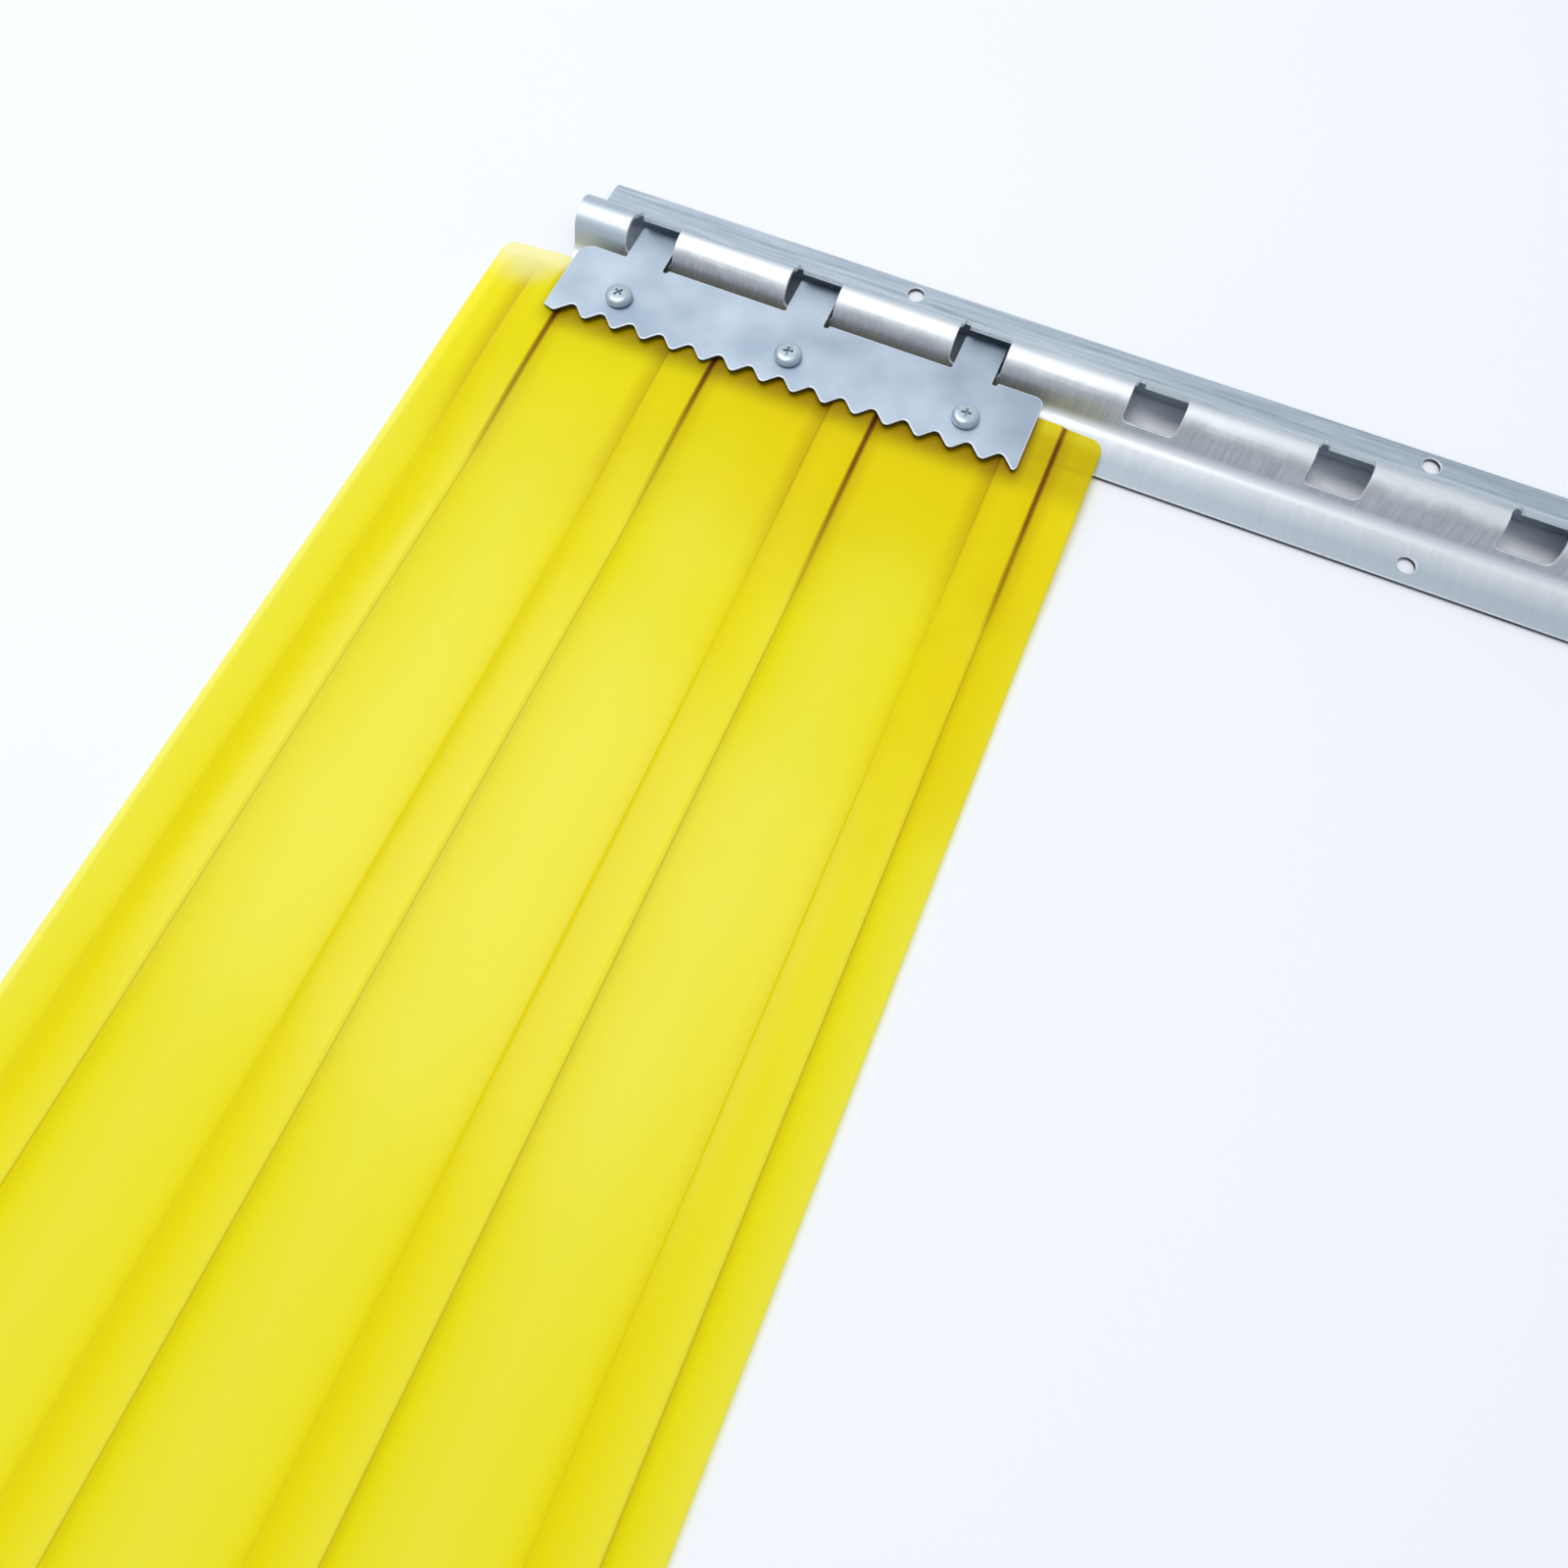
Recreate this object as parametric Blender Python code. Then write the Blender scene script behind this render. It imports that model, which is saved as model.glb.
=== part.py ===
# PVC strip curtain: a galvanised hanging rail, one pair of clamp plates and one ribbed PVC strip.
# The model lies flat on its back as photographed. X runs along the rail, +Y points to the rail's
# top edge and Z = 0 is the plane of the wall or lintel that the rail is fixed to. Metres, +Z up.
# Y = 0 is the line of the upper mounting holes and X = 0 is the middle of the rail.

import math

import bmesh
import bpy
from mathutils import Vector

# Clearances and general values
TOUCH_GAP = 0.0003          # space left between pieces that touch
HOLE_CLEARANCE = 0.0003     # radial clearance of a screw in a hole
OVERRUN = 0.004             # how far a cutter runs past the piece it cuts
MERGE = 0.00001             # distance under which doubled points are one point

# Rail: one sheet, roll formed, with a hump that stands out from two flat flanges
RAIL_THICKNESS = 0.0012
WINDOW_PITCH = 0.055
WINDOW_COUNT = 18
RAIL_END_MARGIN = 0.0265    # rail end to the middle of the first window
RAIL_TOP_Y = 0.0047
BACK_FOOT_Y = -0.0085       # where the upper flange turns up into the hump
FRONT_FOOT_Y = -0.02685     # where the hump comes down to the lower flange
RAIL_BOTTOM_Y = -0.0436
BACK_SLOPE = math.radians(69.5)
FRONT_SLOPE = math.radians(69.5)
CROWN_RADIUS = 0.0072
BACK_FOOT_RADIUS = 0.0022
FRONT_FOOT_RADIUS = 0.0045
WINDOW_WIDTH = 0.0164
WINDOW_BACK_Z = 0.01164     # height of the window's upper edge, just behind the top of the hump
LIP_Z = 0.00544             # height of the lip that the fingers hook behind
WINDOW_LOW_RADIUS = 0.0022
WINDOW_HIGH_RADIUS = 0.0006
RELIEF_WIDTH = 0.0023       # relief slot near the window's upper left corner
RELIEF_INSET = 0.0007
RELIEF_REACH = 0.0040
MOUNT_HOLE_RADIUS = 0.00275
LOWER_HOLE_Y = -0.0372
HOLE_EVERY = 3              # windows between two mounting holes
RAIL_CORNER_RADIUS = 0.0008

# Clamp plates: two stampings with a wavy lower edge, the front one with three hooking fingers
PLATE_THICKNESS = 0.0012
FINGER_COUNT = 3
FINGER_WIDTH = 0.0132       # narrower than its window, so that the plate hangs with some play
FINGER_OFFSET_X = 0.0006    # finger's middle to the right of its window's middle
FINGER_END_Y = -0.0138      # outer face of the turned down finger end
FINGER_TIP_Z = 0.0036
FINGER_CURL_RADIUS = 0.0018
FINGER_ROOT_RADIUS = 0.0008
FINGER_CORNER_RADIUS = 0.0012
PLATE_LEFT_MARGIN = 0.0213  # plate edge to the middle of the nearest window
PLATE_RIGHT_MARGIN = 0.0239
PLATE_TOP_Y = -0.0286
BACK_PLATE_TOP_Y = -0.0300   # the back plate stops short of the bend at the hump's foot
PLATE_TIP_Y = -0.0571
PLATE_LEFT_RADIUS = 0.0050
PLATE_RIGHT_RADIUS = 0.0030
TOOTH_PITCH = 0.01003
TOOTH_COUNT = 16
TOOTH_DEPTH = 0.0052
TOOTH_START = 0.0039        # plate edge to the first tooth's tip
TOOTH_RADIUS = 0.0017
END_TOOTH_RADIUS = 0.0008   # the last tooth on the right, which runs into the plate's side

# PVC strip: sold as 200 mm wide, with four ribs on each face
STRIP_WIDTH = 0.202
STRIP_LENGTH = 2.000
STRIP_WEB = 0.0020
RIB_HEIGHT = 0.0005
RIB_WIDTH = 0.0144
RIB_SHOULDER = 0.0006
RIB_PITCH = 0.0532
RIB_COUNT = 4
RIB_OFFSET_X = 0.0012       # middle of the ribs to the right of the strip's middle
STRIP_TOP_Y = -0.0345
STRIP_CORNER_RADIUS = 0.0035
STRIP_LANDING = 0.0700      # length over which the strip comes down to the surface
SAG_DEPTH = 0.0014          # how far the free side margins droop beside the plates
STRIP_OFFSET_X = -0.0008    # strip's middle to the right of the middle window's middle

# Fixings: three pan head machine screws through the front plate and strip into the back plate
SCREW_PITCH = 0.0572
SCREW_OFFSET_X = 0.0006     # middle screw to the right of the plates' middle
SCREW_Y = -0.0450
SHANK_RADIUS = 0.0020
HEAD_RADIUS = 0.0042
HEAD_HEIGHT = 0.0024
HEAD_RIM = 0.0008
RECESS_RADIUS = 0.0019
RECESS_WIDTH = 0.0008
RECESS_DEPTH = 0.0012
TIP_CHAMFER = 0.0004

# Sizes worked out from the values above
RAIL_LENGTH = WINDOW_PITCH * (WINDOW_COUNT - 1) + RAIL_END_MARGIN * 2
FIRST_WINDOW_X = RAIL_END_MARGIN - RAIL_LENGTH / 2
STRIP_THICKNESS = STRIP_WEB + RIB_HEIGHT * 2
BACK_PLATE_BACK_Z = RAIL_THICKNESS + TOUCH_GAP
BACK_PLATE_FRONT_Z = BACK_PLATE_BACK_Z + PLATE_THICKNESS
CLAMP_MID_Z = BACK_PLATE_FRONT_Z + TOUCH_GAP + STRIP_THICKNESS / 2
FRONT_PLATE_BACK_Z = CLAMP_MID_Z + STRIP_THICKNESS / 2 + TOUCH_GAP
PLATE_LEFT_X = FIRST_WINDOW_X - PLATE_LEFT_MARGIN
PLATE_RIGHT_X = FIRST_WINDOW_X + WINDOW_PITCH * (FINGER_COUNT - 1) + PLATE_RIGHT_MARGIN
HOLE_RADIUS = SHANK_RADIUS + HOLE_CLEARANCE
SCREW_SEAT_Z = FRONT_PLATE_BACK_Z + PLATE_THICKNESS + TOUCH_GAP
SCREW_MID_X = (PLATE_LEFT_X + PLATE_RIGHT_X) / 2 + SCREW_OFFSET_X
STRIP_MID_X = FIRST_WINDOW_X + WINDOW_PITCH + STRIP_OFFSET_X

# Counts of segments
ARC_STEPS = 3
CROWN_STEPS = 8
HOLE_STEPS = 16
ROUND_STEPS = 24


def clear_scene():
    """Start from an empty scene."""
    for thing in list(bpy.data.objects):
        bpy.data.objects.remove(thing, do_unlink=True)


def material(name, colour, roughness, metallic, transmission=0.0):
    """A plain Principled material for one piece."""
    made = bpy.data.materials.new(name)
    made.use_nodes = True
    shader = made.node_tree.nodes["Principled BSDF"]
    shader.inputs["Base Color"].default_value = (*colour, 1.0)
    shader.inputs["Roughness"].default_value = roughness
    shader.inputs["Metallic"].default_value = metallic
    shader.inputs["Transmission Weight"].default_value = transmission
    made.diffuse_color = (*colour, 1.0)
    return made


def add_object(name, bm, surface):
    """Turn a bmesh into a named object with its own material."""
    bmesh.ops.recalc_face_normals(bm, faces=bm.faces[:])
    mesh = bpy.data.meshes.new(name)
    bm.to_mesh(mesh)
    bm.free()
    mesh.materials.append(surface)
    made = bpy.data.objects.new(name, mesh)
    bpy.context.scene.collection.objects.link(made)
    return made


def rounded(corners):
    """Polygon or line points from corners given as (x, y, radius), each corner filleted.

    A radius of zero leaves the corner sharp. A fourth entry sets the number of steps.
    """
    points = []
    count = len(corners)
    for index, corner in enumerate(corners):
        here = Vector(corner[:2])
        radius = corner[2]
        steps = corner[3] if len(corner) > 3 else ARC_STEPS
        before = Vector(corners[index - 1][:2]) - here
        after = Vector(corners[(index + 1) % count][:2]) - here
        if radius == 0:
            points.append(here)
            continue
        half = before.angle(after) / 2
        centre = here + (before.normalized() + after.normalized()).normalized() * (radius / math.sin(half))
        start = here + before.normalized() * (radius / math.tan(half)) - centre
        end = here + after.normalized() * (radius / math.tan(half)) - centre
        sweep = start.angle_signed(end)
        for step in range(steps + 1):
            turn = -sweep * step / steps
            points.append(centre + Vector((
                start.x * math.cos(turn) - start.y * math.sin(turn),
                start.x * math.sin(turn) + start.y * math.cos(turn))))
    return points


def circle(x, y, radius, steps=HOLE_STEPS):
    """Points of a round hole in a blank."""
    return [Vector((x + radius * math.cos(math.tau * i / steps), y + radius * math.sin(math.tau * i / steps)))
            for i in range(steps)]


def stations(path):
    """Distance along a path at each of its points."""
    lengths = [0.0]
    for start, end in zip(path, path[1:]):
        lengths.append(lengths[-1] + (end - start).length)
    return lengths


def distance_where(path, axis, value, last=False):
    """Distance along a path where one coordinate takes a value, for the first or last time."""
    lengths = stations(path)
    found = []
    for index, (start, end) in enumerate(zip(path, path[1:])):
        low, high = start[axis], end[axis]
        if low != high and min(low, high) <= value <= max(low, high):
            share = (value - low) / (high - low)
            found.append(lengths[index] + share * (end - start).length)
    return found[-1] if last else found[0]


def bent_sheet(name, outline, holes, path, thickness, surface):
    """Cut a flat blank, then bend it along a path in the Y Z plane.

    The blank's points are (x, distance along the path). The path is the middle of the sheet,
    and the sheet's front face lies to the left of the direction in which the path is walked.
    """
    bm = bmesh.new()
    for loop in [outline] + holes:
        corners = [bm.verts.new((point[0], point[1], 0)) for point in loop]
        for start, end in zip(corners, corners[1:] + corners[:1]):
            bm.edges.new((start, end))
    bmesh.ops.triangle_fill(bm, use_beauty=True, use_dissolve=False, edges=bm.edges[:])
    grown = bmesh.ops.extrude_face_region(bm, geom=bm.faces[:])
    lifted = [item for item in grown["geom"] if isinstance(item, bmesh.types.BMVert)]
    bmesh.ops.translate(bm, verts=lifted, vec=(0, 0, thickness))

    lengths = stations(path)
    for length in lengths[1:-1]:
        everything = bm.verts[:] + bm.edges[:] + bm.faces[:]
        bmesh.ops.bisect_plane(bm, geom=everything, dist=MERGE, plane_co=(0, length, 0), plane_no=(0, 1, 0))

    directions = [(end - start).normalized() for start, end in zip(path, path[1:])]
    normals = [Vector((way.y, -way.x)) for way in directions]
    for vert in bm.verts:
        length = min(max(vert.co.y, 0), lengths[-1])
        index = max(i for i in range(len(directions)) if lengths[i] <= length + MERGE)
        share = (length - lengths[index]) / (lengths[index + 1] - lengths[index])
        first = normals[index]
        if index > 0:
            first = (normals[index - 1] + first) / (1 + normals[index - 1].dot(first))
        second = normals[index]
        if index < len(normals) - 1:
            second = (second + normals[index + 1]) / (1 + second.dot(normals[index + 1]))
        height = vert.co.z - thickness / 2
        near = path[index] + first * height
        far = path[index + 1] + second * height
        place = near.lerp(far, share)
        vert.co = (vert.co.x, place.x, place.y)
    bmesh.ops.dissolve_limit(bm, angle_limit=math.radians(1), verts=bm.verts[:], edges=bm.edges[:])
    return add_object(name, bm, surface)


def smooth(made, degrees=30):
    """Smooth shading with sharp edges where faces turn by more than an angle."""
    made.data.shade_smooth()
    made.data.set_sharp_from_angle(angle=math.radians(degrees))


def open_path(corners):
    """A filleted open path through corners given as (y, z, radius, steps)."""
    return rounded(corners)


# Rail

def rail_path():
    """Middle line of the rail's section from its top edge to its bottom edge."""
    mid_z = RAIL_THICKNESS / 2
    rise = math.tan(BACK_SLOPE)
    fall = math.tan(FRONT_SLOPE)
    span = BACK_FOOT_Y - FRONT_FOOT_Y
    apex_y = BACK_FOOT_Y - span * fall / (rise + fall)
    apex_z = mid_z + (BACK_FOOT_Y - apex_y) * rise
    return open_path([
        (RAIL_TOP_Y, mid_z, 0),
        (BACK_FOOT_Y, mid_z, BACK_FOOT_RADIUS),
        (apex_y, apex_z, CROWN_RADIUS, CROWN_STEPS),
        (FRONT_FOOT_Y, mid_z, FRONT_FOOT_RADIUS),
        (RAIL_BOTTOM_Y, mid_z, 0)])


def window_outline(middle, high, low):
    """One window with round lower corners and a relief slot near its upper left corner."""
    left = middle - WINDOW_WIDTH / 2
    right = middle + WINDOW_WIDTH / 2
    slot_left = left + RELIEF_INSET
    slot_right = slot_left + RELIEF_WIDTH
    round_end = RELIEF_WIDTH / 2 * 0.85
    return rounded([
        (left, high, 0),
        (slot_left, high, 0),
        (slot_left, high - RELIEF_REACH, round_end, 2),
        (slot_right, high - RELIEF_REACH, round_end, 2),
        (slot_right, high, 0),
        (right, high, WINDOW_HIGH_RADIUS, 2),
        (right, low, WINDOW_LOW_RADIUS),
        (left, low, WINDOW_LOW_RADIUS)])


def build_rail(surface):
    """The hanging rail, with its windows and two rows of mounting holes."""
    path = rail_path()
    total = stations(path)[-1]
    high = distance_where(path, 1, WINDOW_BACK_Z)
    low = distance_where(path, 1, LIP_Z, last=True)
    upper = distance_where(path, 0, 0)
    lower = distance_where(path, 0, LOWER_HOLE_Y)
    half = RAIL_LENGTH / 2
    outline = rounded([
        (-half, 0, RAIL_CORNER_RADIUS, 1),
        (half, 0, RAIL_CORNER_RADIUS, 1),
        (half, total, RAIL_CORNER_RADIUS, 1),
        (-half, total, RAIL_CORNER_RADIUS, 1)])
    holes = []
    for index in range(WINDOW_COUNT):
        middle = FIRST_WINDOW_X + WINDOW_PITCH * index
        holes.append(window_outline(middle, high, low))
        if index % HOLE_EVERY == 1:
            bridge = middle + WINDOW_PITCH / 2
            holes.append(circle(bridge, upper, MOUNT_HOLE_RADIUS))
            holes.append(circle(bridge, lower, MOUNT_HOLE_RADIUS))
    made = bent_sheet("rail", outline, holes, path, RAIL_THICKNESS, surface)
    smooth(made)
    return made


# Clamp plates

def wavy_edge(tip, root):
    """Corners of the toothed lower edge, from right to left."""
    corners = [(PLATE_RIGHT_X, tip - TOOTH_DEPTH * 0.35, END_TOOTH_RADIUS / 2, 1)]
    for index in reversed(range(TOOTH_COUNT)):
        x = PLATE_LEFT_X + TOOTH_START + TOOTH_PITCH * index
        end = index == TOOTH_COUNT - 1
        corners.append((x, tip, END_TOOTH_RADIUS if end else TOOTH_RADIUS, 3))
        if index > 0:
            corners.append((x - TOOTH_PITCH / 2, root, TOOTH_RADIUS, 3))
    corners.append((PLATE_LEFT_X, tip - TOOTH_DEPTH * 0.2, TOOTH_RADIUS / 2, 2))
    return corners


def screw_places():
    """X of each screw, evenly spaced about the middle one."""
    return [SCREW_MID_X + SCREW_PITCH * step for step in (-1, 0, 1)]


def build_front_plate(surface):
    """Front clamp plate: the fingers run up through the windows and turn down behind the lip."""
    mid_z = FRONT_PLATE_BACK_Z + PLATE_THICKNESS / 2
    finger_y = FINGER_END_Y - PLATE_THICKNESS / 2
    path = open_path([
        (finger_y, FINGER_TIP_Z, 0),
        (finger_y, mid_z, FINGER_CURL_RADIUS, 5),
        (PLATE_TIP_Y, mid_z, 0)])
    tip = stations(path)[-1]
    root = tip - TOOTH_DEPTH
    top = distance_where(path, 0, PLATE_TOP_Y)
    screw = distance_where(path, 0, SCREW_Y)
    half = FINGER_WIDTH / 2
    relief = FINGER_ROOT_RADIUS * 2
    low = top + FINGER_ROOT_RADIUS * 1.5

    corners = [(PLATE_LEFT_X, top, PLATE_LEFT_RADIUS)]
    for index in range(FINGER_COUNT):
        middle = FIRST_WINDOW_X + WINDOW_PITCH * index + FINGER_OFFSET_X
        corners += [
            (middle - half, top, FINGER_ROOT_RADIUS, 3),
            (middle - half, 0, FINGER_CORNER_RADIUS, 3),
            (middle + half, 0, FINGER_CORNER_RADIUS, 3),
            (middle + half, low, FINGER_ROOT_RADIUS * 0.9, 3),
            (middle + half + relief, low, FINGER_ROOT_RADIUS * 0.9, 3),
            (middle + half + relief, top, 0)]
    corners.append((PLATE_RIGHT_X, top, PLATE_RIGHT_RADIUS))
    outline = rounded(corners + wavy_edge(tip, root))
    holes = [circle(x, screw, HOLE_RADIUS) for x in screw_places()]
    made = bent_sheet("front_clamp_plate", outline, holes, path, PLATE_THICKNESS, surface)
    smooth(made)
    return made


def build_back_plate(surface):
    """Back clamp plate: flat, with the same outline but no fingers."""
    mid_z = BACK_PLATE_FRONT_Z - PLATE_THICKNESS / 2
    path = [Vector((BACK_PLATE_TOP_Y, mid_z)), Vector((PLATE_TIP_Y, mid_z))]
    tip = stations(path)[-1]
    outline = rounded([
        (PLATE_LEFT_X, 0, PLATE_LEFT_RADIUS),
        (PLATE_RIGHT_X, 0, PLATE_RIGHT_RADIUS)] + wavy_edge(tip, tip - TOOTH_DEPTH))
    screw = distance_where(path, 0, SCREW_Y)
    holes = [circle(x, screw, HOLE_RADIUS) for x in screw_places()]
    return bent_sheet("back_clamp_plate", outline, holes, path, PLATE_THICKNESS, surface)


# PVC strip

def strip_section():
    """Upper half of the strip's cross section as (x from the middle, height), left to right."""
    web = STRIP_WEB / 2
    rib = web + RIB_HEIGHT
    half = STRIP_WIDTH / 2
    points = [(-half, 0), (-half + web / 3, web * 0.75), (-half + web, web)]
    first = RIB_OFFSET_X - RIB_PITCH * (RIB_COUNT - 1) / 2
    points.append((-half + (first - RIB_WIDTH / 2 + half) * 0.55, web))
    for index in range(RIB_COUNT):
        middle = first + RIB_PITCH * index
        foot = RIB_WIDTH / 2
        points += [
            (middle - foot, web),
            (middle - foot + RIB_SHOULDER, rib),
            (middle + foot - RIB_SHOULDER, rib),
            (middle + foot, web)]
    last = first + RIB_PITCH * (RIB_COUNT - 1)
    points.append((half - (half - last - RIB_WIDTH / 2) * 0.55, web))
    points += [(half - web, web), (half - web / 3, web * 0.75), (half, 0)]
    return points


def strip_height(distance):
    """Height of the strip's middle line at a distance from its top edge."""
    held = STRIP_TOP_Y - PLATE_TIP_Y
    low = STRIP_THICKNESS / 2
    if distance <= held:
        return CLAMP_MID_Z
    share = min((distance - held) / STRIP_LANDING, 1)
    ease = (1 + math.cos(math.pi * share)) / 2
    return low + (CLAMP_MID_Z - low) * ease


def build_strip(surface):
    """The strip as one loft from its rounded top corners down to its far end."""
    held = STRIP_TOP_Y - PLATE_TIP_Y
    low = STRIP_THICKNESS / 2
    corner = STRIP_CORNER_RADIUS
    ends_shares = (0.0, 0.12, 0.35, 0.65, 1.0)
    places = [corner * share for share in ends_shares]
    places += [held * 0.45, held * 0.75]
    places += [held + STRIP_LANDING * step / 13 for step in range(14)]
    places += [STRIP_LENGTH * 0.25, STRIP_LENGTH * 0.5]
    places += [STRIP_LENGTH - corner * share for share in reversed(ends_shares)]

    upper = strip_section()
    ring = [(x, height) for x, height in upper] + [(x, -height) for x, height in reversed(upper[1:-1])]
    half = STRIP_WIDTH / 2
    bm = bmesh.new()
    rings = []
    for distance in places:
        near_end = min(distance, STRIP_LENGTH - distance)
        inset = 0
        if near_end < corner:
            inset = corner - math.sqrt(corner ** 2 - (corner - near_end) ** 2)
        height = strip_height(distance)
        sag = SAG_DEPTH * (height - low) / (CLAMP_MID_Z - low)
        verts = []
        for x, offset in ring:
            edge = half - corner
            narrowed = x
            if abs(x) > edge:
                narrowed = math.copysign(edge + (abs(x) - edge) * (corner - inset) / corner, x)
            world_x = STRIP_MID_X + narrowed
            beyond = max(PLATE_LEFT_X - world_x, world_x - PLATE_RIGHT_X, 0)
            free_width = half - (PLATE_RIGHT_X - PLATE_LEFT_X) / 2
            drop = sag * min(beyond / free_width, 1) ** 2
            verts.append(bm.verts.new((world_x, STRIP_TOP_Y - distance, height - drop + offset)))
        rings.append(verts)
    for first, second in zip(rings, rings[1:]):
        for index in range(len(ring)):
            after = (index + 1) % len(ring)
            bm.faces.new((first[index], first[after], second[after], second[index]))
    bm.faces.new(rings[0])
    bm.faces.new(list(reversed(rings[-1])))
    made = add_object("pvc_strip", bm, surface)
    for index, x in enumerate(screw_places()):
        cutter = revolved("strip_hole_cutter_%d" % (index + 1), [
            (0, -STRIP_THICKNESS), (HOLE_RADIUS, -STRIP_THICKNESS),
            (HOLE_RADIUS, STRIP_THICKNESS), (0, STRIP_THICKNESS)], HOLE_STEPS, surface)
        cutter.location = (x, SCREW_Y, CLAMP_MID_Z)
        cut(made, cutter)
    smooth(made, 40)
    return made


# Fixings

def revolved(name, profile, steps, surface):
    """A solid of revolution about Z from (radius, z) points, first and last on the axis."""
    bm = bmesh.new()
    rings = []
    for radius, z in profile:
        if radius == 0:
            rings.append([bm.verts.new((0, 0, z))])
        else:
            rings.append([bm.verts.new((radius * math.cos(math.tau * i / steps),
                                        radius * math.sin(math.tau * i / steps), z)) for i in range(steps)])
    for first, second in zip(rings, rings[1:]):
        for index in range(steps):
            after = (index + 1) % steps
            around = [first[index % len(first)], first[after % len(first)],
                      second[after % len(second)], second[index % len(second)]]
            face = list(dict.fromkeys(around))
            if len(face) > 2:
                bm.faces.new(face)
    return add_object(name, bm, surface)


def cut(target, cutter):
    """Cut one object from another and hide the cutter."""
    step = target.modifiers.new("cut", "BOOLEAN")
    step.operation = "DIFFERENCE"
    step.solver = "EXACT"
    step.object = cutter
    cutter.hide_render = True
    cutter.display_type = "WIRE"


def build_screw(number, x, surface):
    """Pan head machine screw with a cross recess; its thread is left plain."""
    top = HEAD_HEIGHT
    end = BACK_PLATE_BACK_Z - SCREW_SEAT_Z
    dome = [(HEAD_RADIUS, HEAD_RIM)]
    for step in range(1, ARC_STEPS + 1):
        turn = math.pi / 2 * step / (ARC_STEPS + 1)
        dome.append((HEAD_RADIUS * math.cos(turn) ** 0.6, HEAD_RIM + (top - HEAD_RIM) * math.sin(turn)))
    profile = [
        (0, end), (SHANK_RADIUS - TIP_CHAMFER, end), (SHANK_RADIUS, end + TIP_CHAMFER),
        (SHANK_RADIUS, 0), (HEAD_RADIUS, 0)] + dome + [(0, top)]
    made = revolved("clamp_screw_%d" % number, profile, ROUND_STEPS, surface)
    made.location = (x, SCREW_Y, SCREW_SEAT_Z)

    bm = bmesh.new()
    arm = RECESS_WIDTH / 2
    levels = []
    for reach, z in ((RECESS_RADIUS * 0.55, top - RECESS_DEPTH), (RECESS_RADIUS, top + OVERRUN)):
        corners = []
        for quarter in range(4):
            turn = math.pi / 2 * quarter
            for x_side, y_side in ((reach, -arm), (reach, arm), (arm, arm)):
                corners.append(bm.verts.new((x_side * math.cos(turn) - y_side * math.sin(turn),
                                             x_side * math.sin(turn) + y_side * math.cos(turn), z)))
        levels.append(corners)
    for i in range(12):
        after = (i + 1) % 12
        bm.faces.new((levels[0][i], levels[0][after], levels[1][after], levels[1][i]))
    bm.faces.new(levels[0])
    bm.faces.new(levels[1])
    cutter = add_object("recess_cutter_%d" % number, bm, surface)
    cutter.location = made.location
    cutter.rotation_euler = (0, 0, math.radians(20 + 35 * number))
    cut(made, cutter)
    smooth(made, 35)
    return made


def hang(pieces):
    """Parent the hanging pieces to an empty on the window lip, which is the swing axis."""
    path = rail_path()
    along = distance_where(path, 1, LIP_Z, last=True)
    lengths = stations(path)
    index = max(i for i in range(len(path) - 1) if lengths[i] <= along)
    share = (along - lengths[index]) / (lengths[index + 1] - lengths[index])
    lip = path[index].lerp(path[index + 1], share)
    hinge = bpy.data.objects.new("curtain_hinge", None)
    hinge.location = (FIRST_WINDOW_X + WINDOW_PITCH, lip.x, lip.y)
    bpy.context.scene.collection.objects.link(hinge)
    bpy.context.view_layer.update()
    for piece in pieces:
        piece.parent = hinge
        piece.matrix_parent_inverse = hinge.matrix_world.inverted()
    print("swing axis y %.5f z %.5f" % (lip.x, lip.y))


clear_scene()
zinc_rail = material("galvanised_rail", (0.47, 0.52, 0.56), 0.38, 0.9)
zinc_plate = material("zinc_plated_plate", (0.48, 0.57, 0.66), 0.42, 0.85)
zinc_back = material("zinc_plated_back_plate", (0.46, 0.55, 0.63), 0.45, 0.85)
bright_screw = material("bright_zinc_screw", (0.58, 0.64, 0.70), 0.30, 0.95)
yellow_pvc = material("yellow_pvc", (0.85, 0.72, 0.01), 0.18, 0.0, 0.35)

rail = build_rail(zinc_rail)
hanging = [build_front_plate(zinc_plate), build_back_plate(zinc_back), build_strip(yellow_pvc)]
for number, place in enumerate(screw_places(), start=1):
    hanging.append(build_screw(number, place, bright_screw))
hang(hanging)
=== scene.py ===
# PVC strip curtain: a windowed galvanised hanging rail, one pair of hooked clamp plates and one
# ribbed yellow strip, lying on a pale table as photographed. Metres; X runs along the rail,
# +Y points to the rail's top edge and Z = 0 is the table.

import math

import bmesh
import bpy
from mathutils import Matrix, Vector


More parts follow.
